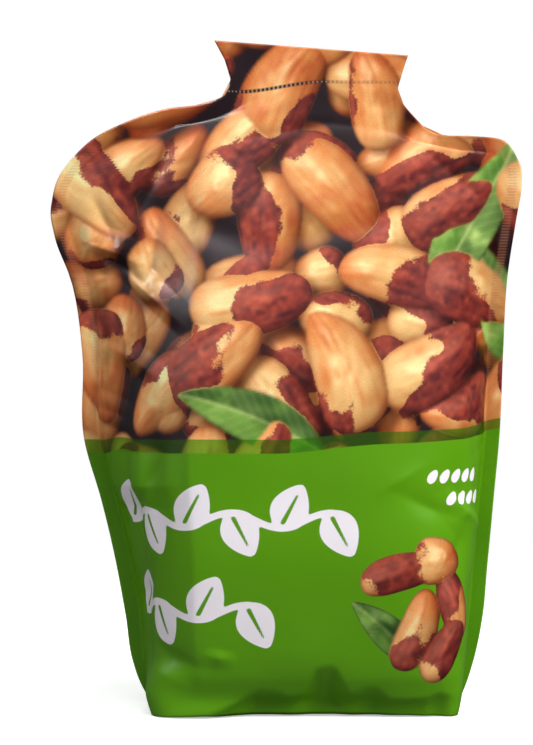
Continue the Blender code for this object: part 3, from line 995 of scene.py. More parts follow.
FLESH_SHINE, SKIN_SHINE = paint(255, 236, 196), paint(235, 150, 120)
FLESH_WARMTH, SKIN_WARMTH = np.array((0.85, 1.10, 1.35)), np.array((0.9, 1.1, 1.05))
RIGHT_DARKER = 1 - 0.19 * ramp(PRINT_ACROSS, 20, 75)  # the picture darkens towards its right side


def shifted(values, across, up):
    """The canvas read at that many mm across and up from each point, held at its edges."""
    i = np.clip(np.arange(values.shape[0]) + round(up / PRINT_STEP), 0, values.shape[0] - 1)
    j = np.clip(np.arange(values.shape[1]) + round(across / PRINT_STEP), 0, values.shape[1] - 1)
    return values[np.ix_(i, j)]


def cast_shadow(height):
    """Share of the light that is cut off: the most that anything towards the light stands above
    the ray, against SHADOW_SOFT mm for each mm of distance."""
    level = np.hypot(PICTURE_LIGHT[0], PICTURE_LIGHT[1])
    cut = np.zeros_like(height)
    for k in range(1, SHADOW_STEPS + 1):
        far = k * SHADOW_STEP
        there = shifted(height, *(PICTURE_LIGHT[:2] / level * far))
        above = there - height - far * PICTURE_LIGHT[2] / level
        cut = np.maximum(cut, np.clip(above / (SHADOW_SOFT * far + 1.0), 0, 1))
    return blurred(cut, 1.0)


def relief_light(canvas):
    """At every raster point: how far it faces the light, how near it is to mirroring it, and how
    open it lies, which is what shadows and higher neighbours leave of the light."""
    height = canvas["height"]
    slope = np.stack((-canvas["slope_x"], -canvas["slope_y"], np.ones_like(height)), axis=-1)
    slope[..., :2] = np.clip(slope[..., :2], -STEEPEST, STEEPEST)
    normal = slope / np.linalg.norm(slope, axis=-1, keepdims=True)
    facing = np.clip(normal @ PICTURE_LIGHT, 0, 1)
    half_way = PICTURE_LIGHT + (0, 0, 1)
    half_way = half_way / np.linalg.norm(half_way)
    mirroring = np.clip(normal @ half_way, 0, 1)
    sunk = np.clip((blurred(height, SUNK_REACH) - height) / SUNK_DEEP, 0, 1)
    open_share = (1 - SHADOW_DARK * cast_shadow(height)) * (1 - SUNK_DARK * sunk)
    return facing, mirroring, open_share


def with_highlight(colour, tint, strength, mirroring, power, open_share):
    """Adds tint * strength * mirroring^power wherever the point lies open."""
    return colour + tint * strength * (mirroring**power * open_share)[..., None]


def flesh_colours(canvas, seed, patch, near_rim, facing, mirroring, open_share):
    """Cream to tan to orange, by how ripe a place is. The shaded parts turn warm."""
    a, b = canvas["a"], canvas["b"]
    grain = ragged_noise(a * 1.5 + 3, b * 7 + 3, seed + 40, 3)
    ripe = 0.30 + 0.5 * (canvas["tone"] - 0.5) + 0.28 * a + 0.22 * grain + 0.2 * patch
    ripe = np.clip(ripe + 0.3 * ramp(PRINT_UP, 240, 262), 0, 1)
    flesh = mixed(mixed(CREAM, TAN, np.clip(ripe * 2, 0, 1)), ORANGE, np.clip(ripe * 2 - 1, 0, 1))
    flesh = mixed(flesh, ORANGE, 0.6 * near_rim)
    light = (0.30 + 0.80 * facing) * open_share * RIGHT_DARKER
    flesh = flesh * light[..., None] ** FLESH_WARMTH
    return with_highlight(flesh, FLESH_SHINE, 0.34, mirroring, 34, open_share)


def skin_colours(canvas, seed, near_rim, facing, mirroring, open_share):
    """Dark to warm red-brown in mottles and lengthwise streaks, paler along the lit rim."""
    a, b = canvas["a"], canvas["b"]
    mottle = ragged_noise(PRINT_ACROSS / 2.2, PRINT_UP / 2.2, seed + 60, 3)
    streak = ragged_noise(a * 2.5 + 9, b * 9 + 9, seed + 70, 3)
    skin = mixed(SKIN_DEEP, SKIN_WARM, np.clip(0.55 + 0.28 * mottle + 0.35 * streak, 0, 1))
    pale = 0.35 * np.clip(mottle - 0.35, 0, 1) + 0.4 * near_rim * (facing > 0.6)
    skin = mixed(skin, SKIN_PALE, pale)
    light = (0.35 + 0.85 * facing) * open_share * RIGHT_DARKER
    skin = skin * light[..., None] ** SKIN_WARMTH
    return with_highlight(skin, SKIN_SHINE, 0.22, mirroring, 18, open_share)


def leaf_colours(canvas, patch, facing, mirroring, open_share):
    """Two greens, one for each half, with a pale midrib and pale slanting side veins."""
    a, b = canvas["a"], canvas["b"]
    veins = np.abs(np.sin(np.pi * (a * 7 - np.abs(b) * 2.4)))
    vein = np.exp(-((veins / 0.16) ** 2)) * 0.5 + np.exp(-((b / 0.05) ** 2))
    leaf = mixed(LEAF_DEEP, LEAF_MID, np.clip(0.45 + 0.45 * patch + 0.3 * np.sign(b), 0, 1))
    pale = 0.55 * vein + 0.5 * (patch > 0.35) * (patch - 0.35)
    leaf = mixed(leaf, LEAF_PALE, np.clip(pale, 0, 1))
    leaf = leaf * ((0.45 + 0.65 * facing) * open_share)[..., None]
    return with_highlight(leaf, LEAF_PALE, 0.25, mirroring, 12, open_share)


def lit_picture(canvas, seed):
    """Colours of the flesh and of the skin at every raster point, both already lit."""
    light = relief_light(canvas)
    open_share = light[-1]
    patch = ragged_noise(PRINT_ACROSS / 9, PRINT_UP / 9, seed + 50, 3)
    near_rim = np.exp(-np.maximum(canvas["rim"], 0) / RIM_REACH)
    flesh = flesh_colours(canvas, seed, patch, near_rim, *light)
    skin = skin_colours(canvas, seed, near_rim, *light)
    leaf = leaf_colours(canvas, patch, *light)
    gap = GAP_SHADE * (0.5 + 0.5 * open_share)[..., None]
    for which, colour in ((NOTHING, gap), (LEAF, leaf)):
        here = (canvas["kind"] == which)[..., None]
        flesh, skin = np.where(here, colour, flesh), np.where(here, colour, skin)
    return np.clip(flesh, 0, 1), np.clip(skin, 0, 1)


# %% [markdown]
# The marks on the front's plain field are two garlands of chunky white leaves, the first with six
# and the second with four, and two short rows of tiny leaves beside them. Each is drawn as a
# distance: positive inside, negative outside. The material cuts it off at zero, and that keeps the
# edge of a mark sharp however coarse the mesh is. A leaf is pointed at its tip, and its midrib is
# left green.
# %% White marks
LEAF_HIGH, LEAF_WIDE, LEAF_LEAN, VEIN = 10.8, 7.8, 28, 0.75
STEM, STEM_WAVE = 1.4, 3.1
SMALL_GAP, SMALL_HIGH, SMALL_WIDE, SMALL_LEAN = 6.0, 3.9, 2.0, -38
UPPER_ROW, LOWER_ROW = 84.0, 45.8


def leaf_distance(across, up, high, wide, lean):
    """Distance inside a pointed leaf, with a from -1 at its foot to 1 at its tip and the
    half-width wide * (1 - a^2)^0.75 * (1 - 0.28 a). Also gives a and the distance aside."""
    aside, along = turned(PRINT_ACROSS - across, PRINT_UP - up, lean)
    a = along / high
    half = wide * np.maximum(1 - a**2, 0) ** 0.75 * (1 - 0.28 * a)
    return np.where(np.abs(a) < 1, half - np.abs(aside), -3.0), a, aside


def ribbed_leaf(across, up, lean, size=1.0):
    """A leaf whose midrib is left bare from its foot most of the way to its tip."""
    high, wide = LEAF_HIGH * size, LEAF_WIDE * size
    mark, a, aside = leaf_distance(across, up, high, wide, lean)
    midrib = np.minimum(VEIN * (1 - 0.5 * a) - np.abs(aside), (0.66 - np.abs(a + 0.1)) * high)
    return np.minimum(mark, -midrib)


def garland(across, up, count, gap, size=1.0):
    """A wavy stem with leaves by turns above and below it, all leaning right. Each leaf's foot is
    on the stem, where the wave is furthest from the leaf's tip."""
    wave = np.pi * (PRINT_ACROSS - across) / gap
    slope = STEM_WAVE * np.pi / gap * np.sin(wave)
    stem = STEM - np.abs(PRINT_UP - up + STEM_WAVE * np.cos(wave)) / np.sqrt(1 + slope**2)
    ends = np.minimum(PRINT_ACROSS - across, across + (count - 1) * gap - PRINT_ACROSS) + STEM
    parts = [np.minimum(stem, ends)]
    for k in range(count):
        above = 1 if k % 2 == 0 else -1
        lean = -LEAF_LEAN if above > 0 else 180 + LEAF_LEAN
        foot_to_middle = 0.9 * LEAF_HIGH * size
        x = across + k * gap + foot_to_middle * np.sin(np.radians(LEAF_LEAN))
        y = up + above * (foot_to_middle * np.cos(np.radians(LEAF_LEAN)) - STEM_WAVE)
        parts.append(ribbed_leaf(x, y, lean, size))
    return np.maximum.reduce(parts)


def small_leaves(across, up, count):
    """A row of tiny separate leaves that all lean right."""
    form = (SMALL_HIGH, SMALL_WIDE, SMALL_LEAN)
    leaves = [leaf_distance(across + k * SMALL_GAP, up, *form)[0] for k in range(count)]
    return np.maximum.reduce(leaves)


def front_marks():
    """Two garlands one above the other, with two short rows of small leaves at the upper right."""
    return np.maximum.reduce((
        garland(-93, UPPER_ROW, 6, 20.6),
        garland(-88, LOWER_ROW, 4, 21.1),
        small_leaves(54, 101.8, 5),
        small_leaves(63, 92.4, 4),
    ))


def back_marks():
    """One garland between two long rows of small leaves."""
    return np.maximum.reduce((
        garland(-62, 66, 6, 21),
        small_leaves(-48, 98, 17),
        small_leaves(-42, 32, 15),
    ))


# %% [markdown]
# Between the picture and the plain field lies a strip of see-through green ink. Its lower line is
# where the solid green begins. Both lines climb a little towards the right, in a few ramps. The
# tear line crosses the neck, where a row of small cuts is shown. It droops on the left.
# %% Lines of the print
FIELD_LINE, TEAR_LINE = 111.7, 276.0
# climb in mm, from and to how far across
FIELD_CLIMBS = ((4.0, -15, 35), (1.6, 30, 85), (0.8, 70, 90), (2.2, 90, 104), (-2.2, -88, -104))
TEAR_CLIMBS = ((-6.2, 12, -30), (1.4, 10, 42))
STRIP_LEFT, STRIP_RIGHT = 5.8, 4.6


def field_height(across, up):
    """How far a point lies above the line where the solid green begins."""
    return up - FIELD_LINE - climbed(across, FIELD_CLIMBS)


def tear_height(across, up):
    """How far a point lies above the tear line, which droops on the left."""
    return up - TEAR_LINE - climbed(across, TEAR_CLIMBS)


def strip_depth(across, up):
    """How far a point lies below the upper edge of the see-through strip."""
    wide = STRIP_LEFT + (STRIP_RIGHT - STRIP_LEFT) * ramp(across, -20, 80)
    return wide - field_height(across, up)


# %% [markdown]
# An effect that several finishes share is a node group. The first mixes the print from what the
# points carry: the skin over the flesh, the green strip over the picture, the solid green below,
# the small group of kernels on it and the white marks. Each edge is cut by a narrow ramp round
# zero, and fine noise frays the skin's edge more than the mesh could show.
# %% Node group for the print
FIELD_GREEN = paint(90, 154, 5)
STRIP_INK, STRIP_COVER = paint(134, 206, 84), 0.18
MARK_WHITE = paint(250, 243, 250)
EDGE_SOFT = 0.22


def new_group(name, inputs, outputs):
    """An empty node group. inputs and outputs are pairs of a name and a kind of socket."""
    tree = bpy.data.node_groups.new(name, "ShaderNodeTree")
    for label, kind in inputs:
        tree.interface.new_socket(label, in_out="INPUT", socket_type=f"NodeSocket{kind}")
    for label, kind in outputs:
        tree.interface.new_socket(label, in_out="OUTPUT", socket_type=f"NodeSocket{kind}")
    return tree, tree.nodes.new("NodeGroupInput"), tree.nodes.new("NodeGroupOutput")


def cut_at_zero(tree, value, soft=EDGE_SOFT):
    """A smooth step from 0 to 1 as the value goes from -soft to soft."""
    step = place(tree, "ShaderNodeMapRange", {0: value, 1: -soft, 2: soft})
    step.interpolation_type = "SMOOTHSTEP"
    return step.outputs[0]


def print_group():
    """The print's colour from the edges and colours that the points carry."""
    tree, given, out = new_group(
        "printed_picture",
        (("Flesh", "Color"), ("Skin", "Color"), ("Skin Edge", "Float"), ("Field Height", "Float"),
         ("Strip Depth", "Float"), ("Group Edge", "Float"), ("Mark Edge", "Float"),
         ("Flat Film", "Vector")),
        (("Color", "Color"),),
    )
    flat, socket = given.outputs["Flat Film"], given.outputs
    fray = place(tree, "ShaderNodeTexNoise", {"Vector": flat, "Scale": 90.0, "Detail": 3.0})
    frayed = maths(tree, "MULTIPLY_ADD", fray.outputs["Fac"], 2.0, socket["Skin Edge"])
    skin = cut_at_zero(tree, maths(tree, "SUBTRACT", frayed, 1.0), 0.45)
    picture = blend_colours(tree, skin, socket["Flesh"], socket["Skin"])
    specks = place(tree, "ShaderNodeTexNoise", {"Vector": flat, "Scale": 160.0, "Detail": 2.0})
    fleck = place(
        tree, "ShaderNodeMapRange", {0: specks.outputs["Fac"], 1: 0.35, 2: 0.75, 3: 0.92, 4: 1.10}
    )
    picture = scaled(tree, picture, fleck.outputs[0])
    strip = cut_at_zero(tree, socket["Strip Depth"])
    tinted = blend_colours(tree, 1.0, picture, STRIP_INK, "MULTIPLY")
    tinted = blend_colours(tree, STRIP_COVER, tinted, FIELD_GREEN)
    upper = blend_colours(tree, strip, picture, tinted)
    lower = blend_colours(tree, cut_at_zero(tree, socket["Group Edge"]), FIELD_GREEN, picture)
    lower = blend_colours(tree, cut_at_zero(tree, socket["Mark Edge"]), lower, MARK_WHITE)
    whole = blend_colours(tree, cut_at_zero(tree, socket["Field Height"]), lower, upper)
    tree.links.new(whole, out.inputs["Color"])
    return tree


PRINTED_PICTURE = print_group()
print("node group:", PRINTED_PICTURE.name)

# %% [markdown]
# The second group is the film's own surface. Laminated film is satin: its gloss changes a little
# from place to place, and it has a faint orange peel from lamination and soft dimples over the
# nuts. The third gives the heat seals: the sealing bar presses fine level ribs into them, and there
# the colour gets a reddish-brown tint, paler along the crests as a painted highlight.
# %% Node groups for the film's surface
RIB_EVERY = 1.3  # mm
# the ribs' tint: a steady part, and a swing with the sine that is a painted highlight on the crests
RIB_TINT_MIDDLE, CREST_SHEEN_SWING = 0.62, 0.38


def film_surface_group():
    """A cloudy roughness between two levels, and the height of the orange peel and dimples."""
    tree, given, out = new_group(
        "satin_film",
        (("Flat Film", "Vector"), ("Roughness Low", "Float"), ("Roughness High", "Float")),
        (("Roughness", "Float"), ("Height", "Float")),
    )
    flat = given.outputs["Flat Film"]
    cloudy = place(tree, "ShaderNodeTexNoise", {"Vector": flat, "Scale": 5.0, "Detail": 4.0})
    rough = place(tree, "ShaderNodeMapRange", {
        0: cloudy.outputs["Fac"], 1: 0.3, 2: 0.7,
        3: given.outputs["Roughness Low"], 4: given.outputs["Roughness High"],
    })
    tree.links.new(rough.outputs[0], out.inputs["Roughness"])
    peel = place(tree, "ShaderNodeTexNoise", {"Vector": flat, "Scale": 75.0, "Detail": 2.0})
    dimples = place(tree, "ShaderNodeTexNoise", {"Vector": flat, "Scale": 9.0, "Detail": 2.0})
    height = maths(tree, "MULTIPLY_ADD", dimples.outputs["Fac"], 9.0, peel.outputs["Fac"])
    tree.links.new(height, out.inputs["Height"])
    return tree


def seal_rib_group():
    """Ribs across the seal: a sine of the distance up the film, by how far the point is sealed.
    They also give how much reddish-brown tint is laid on, most along the crests, where the sine
    is high: there it is a painted highlight."""
    tree, given, out = new_group(
        "seal_ribs",
        (("Flat Film", "Vector"), ("Sealed", "Float")),
        (("Height", "Float"), ("Tint and Sheen", "Float")),
    )
    up = place(tree, "ShaderNodeSeparateXYZ", {0: given.outputs["Flat Film"]}).outputs["Y"]
    wave = maths(tree, "SINE", maths(tree, "MULTIPLY", up, 2 * np.pi * 100 / RIB_EVERY))
    height = maths(tree, "MULTIPLY", wave, given.outputs["Sealed"])
    tree.links.new(height, out.inputs["Height"])
    # painted highlight: the tint swings up along the crests, where the sine is high
    tint_and_sheen = maths(tree, "MULTIPLY_ADD", wave, CREST_SHEEN_SWING, RIB_TINT_MIDDLE)
    tint_and_sheen = maths(tree, "MULTIPLY", tint_and_sheen, given.outputs["Sealed"])
    tree.links.new(tint_and_sheen, out.inputs["Tint and Sheen"])
    return tree


SATIN_FILM, SEAL_RIBS = film_surface_group(), seal_rib_group()

# %% [markdown]
# The tear line is a row of short dark cuts with small pale lips between them, plain on the left and
# fainter towards the right. Then everything meets in the material of the printed film.
# %% Printed film
CUT_EVERY, CUT_HALF, LIP_HALF = 1.9, 0.7, 0.28
CUT_DARK, CUT_PALE = paint(34, 26, 30), paint(214, 190, 160)
# the ribs' reddish-brown tint, paler on the crests, where it is a painted highlight
RIB_TINT_AND_SHEEN_SHARE, RIB_TINT_AND_SHEEN = 0.46, paint(192, 124, 94)
ROUGHNESS, RELIEF_HIGH, RIB_HEIGHT = (0.30, 0.41), 0.00003, 1.4


def with_tear_line(tree, colour, flat, from_line):
    """Lays the cuts over a colour: a dark line that is darkest where a wave along it is high, with
    a small pale lip between two cuts. Both grow faint towards the right."""
    across = place(tree, "ShaderNodeSeparateXYZ", {0: flat}).outputs["X"]
    wave = maths(tree, "SINE", maths(tree, "MULTIPLY", across, 2 * np.pi * 100 / CUT_EVERY))
    away = maths(tree, "ABSOLUTE", from_line)
    faint = place(tree, "ShaderNodeMapRange", {0: across, 1: -0.02, 2: 0.20, 3: 1.0, 4: 0.3})
    cut = cut_at_zero(tree, maths(tree, "ADD", wave, 0.2), 0.6)
    cut = maths(tree, "MULTIPLY_ADD", cut, 0.5, 0.5)
    lip = cut_at_zero(tree, maths(tree, "SUBTRACT", -0.5, wave), 0.4)
    for along, half, soft, ink in ((lip, LIP_HALF, 0.25, CUT_PALE), (cut, CUT_HALF, 0.4, CUT_DARK)):
        near = cut_at_zero(tree, maths(tree, "SUBTRACT", half, away), soft)
        shown = maths(tree, "MULTIPLY", maths(tree, "MULTIPLY", near, along), faint.outputs[0])
        colour = blend_colours(tree, shown, colour, ink)
    return colour


def make_satin(tree, shader, flat, colour, ribs=None, bump_share=1.0):
    """Gives a film's shader its colour and its satin surface, with the relief of ribs if any."""
    surface = place(
        tree,
        "ShaderNodeGroup",
        {"Flat Film": flat, "Roughness Low": ROUGHNESS[0], "Roughness High": ROUGHNESS[1]},
        node_tree=SATIN_FILM,
    )
    height = surface.outputs["Height"]
    if ribs is not None:
        height = maths(tree, "MULTIPLY_ADD", ribs, RIB_HEIGHT, height)
    relief = {"Height": height, "Strength": bump_share, "Distance": RELIEF_HIGH}
    bump = place(tree, "ShaderNodeBump", relief)
    tree.links.new(colour, shader.inputs["Base Color"])
    tree.links.new(surface.outputs["Roughness"], shader.inputs["Roughness"])
    tree.links.new(bump.outputs[0], shader.inputs["Normal"])
    shader.inputs["Specular IOR Level"].default_value = 0.36
    shader.inputs["Coat Weight"].default_value = 0.08
    shader.inputs["Coat Roughness"].default_value = 0.25


def printed_film(name):
    """The print, its tear line and the ribs' tint with its painted highlight, on the satin film."""
    finish, tree, shader = empty_material(name)
    flat = place(tree, "ShaderNodeUVMap", uv_map="flat_film").outputs[0]

    def carried(label, kind="Fac"):
        return place(tree, "ShaderNodeAttribute", attribute_name=label).outputs[kind]

    picture = place(tree, "ShaderNodeGroup", node_tree=PRINTED_PICTURE)
    for socket, label, kind in (
        ("Flesh", "flesh", "Color"), ("Skin", "skin", "Color"), ("Skin Edge", "skin_edge", "Fac"),
        ("Field Height", "field_height", "Fac"), ("Strip Depth", "strip_depth", "Fac"),
        ("Group Edge", "group_edge", "Fac"), ("Mark Edge", "mark_edge", "Fac"),
    ):
        tree.links.new(carried(label, kind), picture.inputs[socket])
    tree.links.new(flat, picture.inputs["Flat Film"])
    colour = with_tear_line(tree, picture.outputs["Color"], flat, carried("from_tear"))
    ribs = place(tree, "ShaderNodeGroup", node_tree=SEAL_RIBS)
    tree.links.new(flat, ribs.inputs["Flat Film"])
    tree.links.new(carried("sealed"), ribs.inputs["Sealed"])
    # painted highlight: the ribs' reddish-brown tint is laid over the print, most on the crests
    tint_and_sheen = maths(tree, "MULTIPLY", ribs.outputs["Tint and Sheen"], RIB_TINT_AND_SHEEN_SHARE)
    colour = blend_colours(tree, tint_and_sheen, colour, RIB_TINT_AND_SHEEN)
    make_satin(tree, shader, flat, colour, ribs.outputs["Height"], bump_share=0.6)
    return finish


# %% [markdown]
# The front sheet. Its lines lie closer together where the picture is printed, because that is where
# small things show. The canvas is read at every point of the flat film, and what it says is kept
# on the mesh.
# %% Front film
FRONT_COLUMNS, BACK_COLUMNS = 256, 144
PICTURE_FROM = 110.0
FRONT_ROWS, BACK_ROWS = (124, 212), (60, 100)


def row_heights(rows):
    """Middle heights of the lines: so many below the picture and so many beside it."""
    low = np.linspace(0, PICTURE_FROM, rows[0] + 1)
    return np.concatenate((low, np.linspace(PICTURE_FROM, HEIGHT, rows[1] + 1)[1:]))


def rib_share(inside, up):
    """The ribs fill a narrow band of the seal. Beside the shoulders it is broad and runs through
    the seal's middle. Below them it thins and drifts to the seam. The header and the base have
    none."""
    high = ramp(up, 160, 200)
    middle, half = -0.2 - 2.9 * high, 0.9 + 0.9 * high
    band = ramp(np.abs(inside - middle), half + 0.5, half - 0.3)
    # uneven strength of the ribs, which makes their painted highlight uneven too
    uneven_ribs = 0.75 + 0.25 * smooth_noise(up / 5, inside / 4, 91)
    return band * uneven_ribs * (0.8 + 0.2 * high) * ramp(up, 112, 128) * ramp(up, 250, 238)


def printed_sheet(
    name, node, side, rows, columns, dents, creases, arch, seed, marks, with_group
):
    """A whole piece: the sheet's shape, and on its points what its print and its seals need. The
    seed is for both the lumps and the picture. marks is the distance inside the white marks."""
    outer, inner, across, up, inside = make_sheet(
        side, row_heights(rows), columns, dents, creases, arch, seed
    )
    mesh = make_mesh(name, *closed_sheet(outer, inner, turn=side > 0))
    canvas = lay_picture(seed, with_group)
    flesh, skin = lit_picture(canvas, seed)
    skin_edge = np.where(canvas["kind"] == KERNEL, canvas["skin"], -2)
    group_edge = np.where(PRINT_UP < FIELD_CUT, canvas["cover"], -5)
    painted = {
        "skin_edge": np.clip(skin_edge, -2, 2),
        "group_edge": np.clip(group_edge, -3, 3),
        "mark_edge": np.clip(marks, -3, 3),
        "flesh": flesh,
        "skin": skin,
    }
    seen_across = across * -side
    carried = {
        label: from_canvas(softened(values), seen_across, up) for label, values in painted.items()
    }
    carried["field_height"] = field_height(seen_across, up)
    carried["strip_depth"] = strip_depth(seen_across, up)
    carried["from_tear"] = tear_height(seen_across, up)
    carried["sealed"] = rib_share(inside, up)
    for label, values in carried.items():
        keep_on_points(mesh, label, all_points(values))
    keep_flat_film(mesh, all_points(across), all_points(up))
    add_piece(name, mesh, printed_film(f"{name}_print"), node)


printed_sheet(
    "film_front", "front_panel", side=-1, rows=FRONT_ROWS, columns=FRONT_COLUMNS,
    dents=FRONT_DENTS, creases=FRONT_CREASES, arch=ARCH, seed=11, marks=front_marks(),
    with_group=True,
)

# %% [markdown]
# The back sheet is made the same way, with another picture and fewer lines. On its green field are
# one garland and two long rows of tiny leaves.
# %% Back film
printed_sheet(
    "film_back", "back_panel", side=1, rows=BACK_ROWS, columns=BACK_COLUMNS,
    dents=BACK_DENTS, creases=BACK_CREASES, arch=0.0, seed=23, marks=back_marks(),
    with_group=False,
)

# %% [markdown]
# The bottom is a third sheet, folded out flat under the nuts. It rests on the floor, and its rim
# turns up and then down inside the other two, where it is sealed to them. Its old fold runs across
# the middle as a low ridge, and the seal draws short folds in from the rim.
# %% Bottom film
GUSSET_INSET, GUSSET_COLUMNS, GUSSET_RINGS = 1.7, 192, 44
GUSSET_SHARE = (0, 0.30, 0.60, 0.82, 0.90, 0.945, 0.965, 0.985, 1.0, 1.0)
GUSSET_UP = (0, 0, 0, 0, 0.6, 2.4, 4.6, 5.4, 4.4, 0.4)
GUSSET_FILM, GUSSET_REACH = 0.4, 70
FOLD_HIGH, FOLD_HALF = 0.9, 1.6
GATHERS = 34


def gusset_lines():
    """x, y and z of rings round the middle of the base, each a share of the panels' lowest line,
    front half then back half, with a low ridge where the film was folded."""
    _, share, up = even_rings(GUSSET_SHARE, GUSSET_UP, GUSSET_REACH, GUSSET_RINGS + 1)
    share, up = share[1:, None], up[1:, None]  # the first is the middle point itself
    x, _, y, _ = body_lines(up[:, 0], GUSSET_COLUMNS, GUSSET_INSET)
    x, y = closed_rings(x, x), closed_rings(-y, y)
    middle = (x.max(axis=1) + x.min(axis=1))[:, None] / 2
    x, y = middle + (x - middle) * share, y * share
    fold = FOLD_HIGH * np.exp(-((y / FOLD_HALF) ** 2))
    fold = fold * ramp(share, 0.05, 0.3) * ramp(share, 0.9, 0.7)
    round_way = np.arange(x.shape[1]) / x.shape[1]
    gather = np.sin(2 * np.pi * GATHERS * round_way + 2 * np.sin(2 * np.pi * 5 * round_way))
    gather = 0.5 * gather * (ramp(share, 0.6, 0.86) * ramp(share, 0.97, 0.9))
    y = np.where(y < 0, y + tucked(x, up) * np.abs(y) / np.abs(y).max(), y)
    lift = np.maximum(up + fold + gather * 0.5 + 0.25 * (gather != 0), 0)
    return x, y, lift


def make_gusset():
    """Points and faces of the bottom film: its lower face, its upper face a film's thickness off
    along the normals, which are turned to point up in the middle, and the rim between them."""
    x, y, z = gusset_lines()
    rings, columns = x.shape
    centre = placed((LEFT_X[0] + RIGHT_X[0]) / 2, 0.0, 0.0)
    outer = placed(x, y, z)
    over = np.gradient(np.pad(outer, ((0, 0), (1, 1), (0, 0)), mode="wrap"), axis=1)[:, 1:-1]
    normal = np.cross(over, np.gradient(outer, axis=0))
    normal = normal / np.maximum(np.linalg.norm(normal, axis=-1, keepdims=True), 1e-12)
    normal = normal * np.sign(normal[0, :, 2].mean())
    inner = outer + normal * GUSSET_FILM * MM
    above = centre + (0, 0, GUSSET_FILM * MM)
    points = np.concatenate((outer.reshape(-1, 3), inner.reshape(-1, 3), [centre, above]))
    low = ring_numbers(rings, columns)
    high = ring_numbers(rings, columns, first=rings * columns)
    pole = 2 * rings * columns
    faces = [
        fan_faces(pole, low[0], True),
        fan_faces(pole + 1, high[0], False),
        grid_quads(low, False),
        grid_quads(high, True),
        np.column_stack((low[-1, :-1], low[-1, 1:], high[-1, 1:], high[-1, :-1])),
    ]
    return points, faces


def plain_film(name):
    """The same satin film without a picture: green, a little darker in soft patches. A unit of
    its pattern is 100 mm, as on the printed film."""
    finish, tree, shader = empty_material(name)
    where = place(tree, "ShaderNodeTexCoord").outputs["Object"]
    cloudy = place(tree, "ShaderNodeTexNoise", {"Vector": where, "Scale": 30.0, "Detail": 3.0})
    share = place(tree, "ShaderNodeMapRange", {0: cloudy.outputs["Fac"], 1: 0.35, 2: 0.7})
    colour = blend_colours(tree, share.outputs[0], paint(78, 140, 18), paint(92, 160, 24))
    make_satin(tree, shader, scaled(tree, where, 10.0), colour)
    return finish


add_piece(
    "film_bottom", make_mesh("film_bottom", *make_gusset()), plain_film("film_bottom_plain"),
    "bottom_gusset",
)

# %% [markdown]
# The nuts are sealed in and can't be seen, but they are what the pouch holds. They are made as one
# settled heap: the same level lines as the film's, drawn in by a few millimetres and turned away
# and dented with it, closed to a point below and above. The heap's skin is cut into staggered oval
# cells, one for each kernel, and a point sinks as it nears its cell's rim.
# %% Shape of the nuts
NUTS_CLEAR, NUTS_REACH = 8.0, 60
NUTS_SHARE = (0.0, 0.45, 0.74, 0.90, 0.97, 1.0, 1.0, 0.92, 0.74, 0.45, 0.0)
NUTS_UP = (1.7, 1.7, 2.2, 6.0, 11.0, 18.0, 178.0, 187.0, 193.0, 196.5, 198.0)
NUTS_ROWS, NUTS_COLUMNS = 150, 160
CELL_WIDE, CELL_HIGH, CELL_PUSH, CELLS_KNOWN = 30.0, 21.0, 0.28, 64
KERNEL_RISE, KERNEL_EDGE, KERNEL_FALL, LEAST_REACH = 3.4, 0.62, 2.2, 12


def nearest_cell(around, up, seed):
    """Distance to the nearest cell's middle in cells, and that cell's own random number. The cells
    lie in staggered rows, each pushed a little out of place, and repeat after CELLS_KNOWN."""
    rng = np.random.default_rng(seed)
    push = rng.uniform(-CELL_PUSH, CELL_PUSH, (2, CELLS_KNOWN, CELLS_KNOWN))
    tone = rng.uniform(0, 1, (CELLS_KNOWN, CELLS_KNOWN))
    row = np.floor(up / CELL_HIGH).astype(int)
    best, own = np.full(around.shape, 9.0), np.zeros_like(around)
    for step in (-1, 0, 1):
        r = row + step
        shifted_around = around / CELL_WIDE - 0.5 * (r % 2)
        column = np.floor(shifted_around).astype(int)
        for beside in (-1, 0, 1):
            c = column + beside
            known = r % CELLS_KNOWN, c % CELLS_KNOWN
            dx = shifted_around - (c + 0.5 + push[0][known])
            dy = up / CELL_HIGH - (r + 0.5 + push[1][known])
            far = np.hypot(dx, dy)
            nearer = far < best
            best, own = np.where(nearer, far, best), np.where(nearer, tone[known], own)
    return best, own


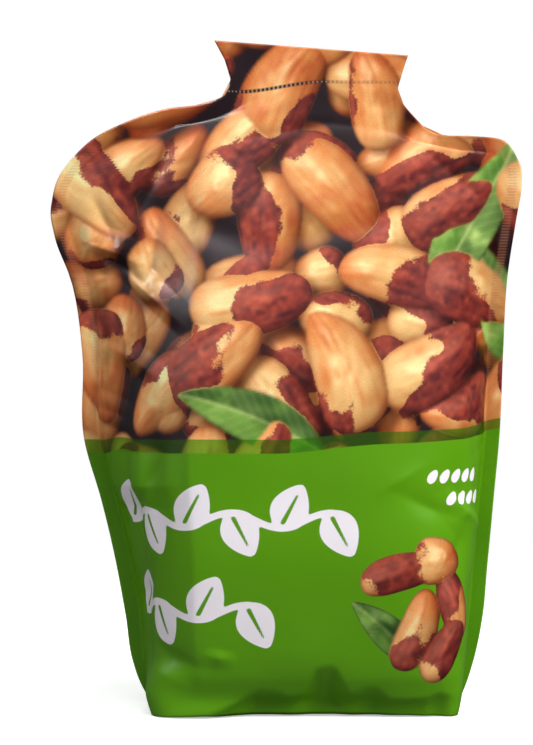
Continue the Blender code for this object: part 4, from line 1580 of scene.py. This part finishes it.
def make_heap():
    """Points, faces and the two numbers that each point carries: rings between the panels, closed
    at both poles, with the kernels raised."""
    at, share, up = even_rings(NUTS_SHARE, NUTS_UP, NUTS_REACH, NUTS_ROWS + 2)
    at, share, up = at[1:-1, None], share[1:-1, None], up[1:-1]  # the ends are the poles
    x, _, y, across = body_lines(up, NUTS_COLUMNS // 2, NUTS_CLEAR)
    up = up[:, None]
    level = up + x * 0
    behind_ridge = turned_away(x, level, np.where(x < 0, across - across[:, :1], 99))
    share_of_depth = y / y.max(axis=1, keepdims=True)
    front = np.maximum(y - behind_ridge - dented(x, level, FRONT_DENTS) * share_of_depth, 0)
    back = y - dented(x, level, BACK_DENTS) * share_of_depth
    x, y = closed_rings(x, x), closed_rings(-front, back)
    middle = (x.max(axis=1) + x.min(axis=1))[:, None] / 2
    steps = np.hypot(np.diff(x, axis=1), np.diff(y, axis=1))
    around = np.concatenate((np.zeros((len(x), 1)), np.cumsum(steps, axis=1)), axis=1)
    far, tone = nearest_cell(around, at + around * 0, 5)
    sink = KERNEL_RISE * np.clip(far / KERNEL_EDGE, 0, 1) ** KERNEL_FALL
    reach = np.maximum(np.hypot(x - middle, y), LEAST_REACH)
    drawn = share * (1 - sink / reach)
    points = placed(middle + (x - middle) * drawn, y * drawn, up)
    poles = placed(middle[[0, -1], 0], np.zeros(2), np.array(NUTS_UP)[[0, -1]])
    rings, columns = x.shape
    ring = ring_numbers(rings, columns)
    faces = [
        fan_faces(rings * columns, ring[0], True),
        grid_quads(ring, False),
        fan_faces(rings * columns + 1, ring[-1], False),
    ]
    numbers = {
        "from_middle": np.append(far, (0.5, 0.5)),
        "kernel_tone": np.append(tone, (0.5, 0.5)),
    }
    return np.concatenate((points.reshape(-1, 3), poles)), faces, numbers


# %% [markdown]
# The kernels' finish reads what the mesh carries: painted shade, dark, in the gaps where a point is
# far from its kernel's middle, and on each kernel cream to tan flesh with ragged patches of
# red-brown skin, more on some kernels than on others.
# %% Finish of the nuts


def kernel_finish():
    """Flesh, ragged skin and painted shade in the gaps between kernels, with a fine rough relief."""
    finish, tree, shader = empty_material("kernels")
    where = place(tree, "ShaderNodeTexCoord").outputs["Object"]
    far = place(tree, "ShaderNodeAttribute", attribute_name="from_middle").outputs["Fac"]
    tone = place(tree, "ShaderNodeAttribute", attribute_name="kernel_tone").outputs["Fac"]
    ragged = place(tree, "ShaderNodeTexNoise", {"Vector": where, "Scale": 55.0, "Detail": 5.0})
    fine = place(tree, "ShaderNodeTexNoise", {"Vector": where, "Scale": 320.0, "Detail": 3.0})
    flesh = blend_colours(tree, fine.outputs["Fac"], CREAM, TAN)
    flesh = blend_colours(tree, tone, flesh, TAN)
    skinned = maths(tree, "MULTIPLY_ADD", tone, 0.22, ragged.outputs["Fac"])
    skin = cut_at_zero(tree, maths(tree, "SUBTRACT", skinned, 0.62), 0.015)
    bark = blend_colours(tree, fine.outputs["Fac"], SKIN_DEEP, SKIN_WARM)
    colour = blend_colours(tree, skin, flesh, bark)
    # painted shade: a point turns dark as it nears the rim of its kernel's cell
    deep = place(tree, "ShaderNodeMapRange", {0: far, 1: 0.5, 2: 0.72})
    colour = blend_colours(tree, deep.outputs[0], colour, GAP_SHADE)
    bump = place(tree, "ShaderNodeBump", {"Height": fine.outputs["Fac"], "Distance": 0.0004})
    tree.links.new(colour, shader.inputs["Base Color"])
    tree.links.new(bump.outputs[0], shader.inputs["Normal"])
    shader.inputs["Roughness"].default_value = 0.5
    return finish


heap_points, heap_faces, heap_numbers = make_heap()
heap_mesh = make_mesh("nut_heap", heap_points, heap_faces)
for label, values in heap_numbers.items():
    keep_on_points(heap_mesh, label, values)
add_piece("nut_heap", heap_mesh, kernel_finish(), "nuts")
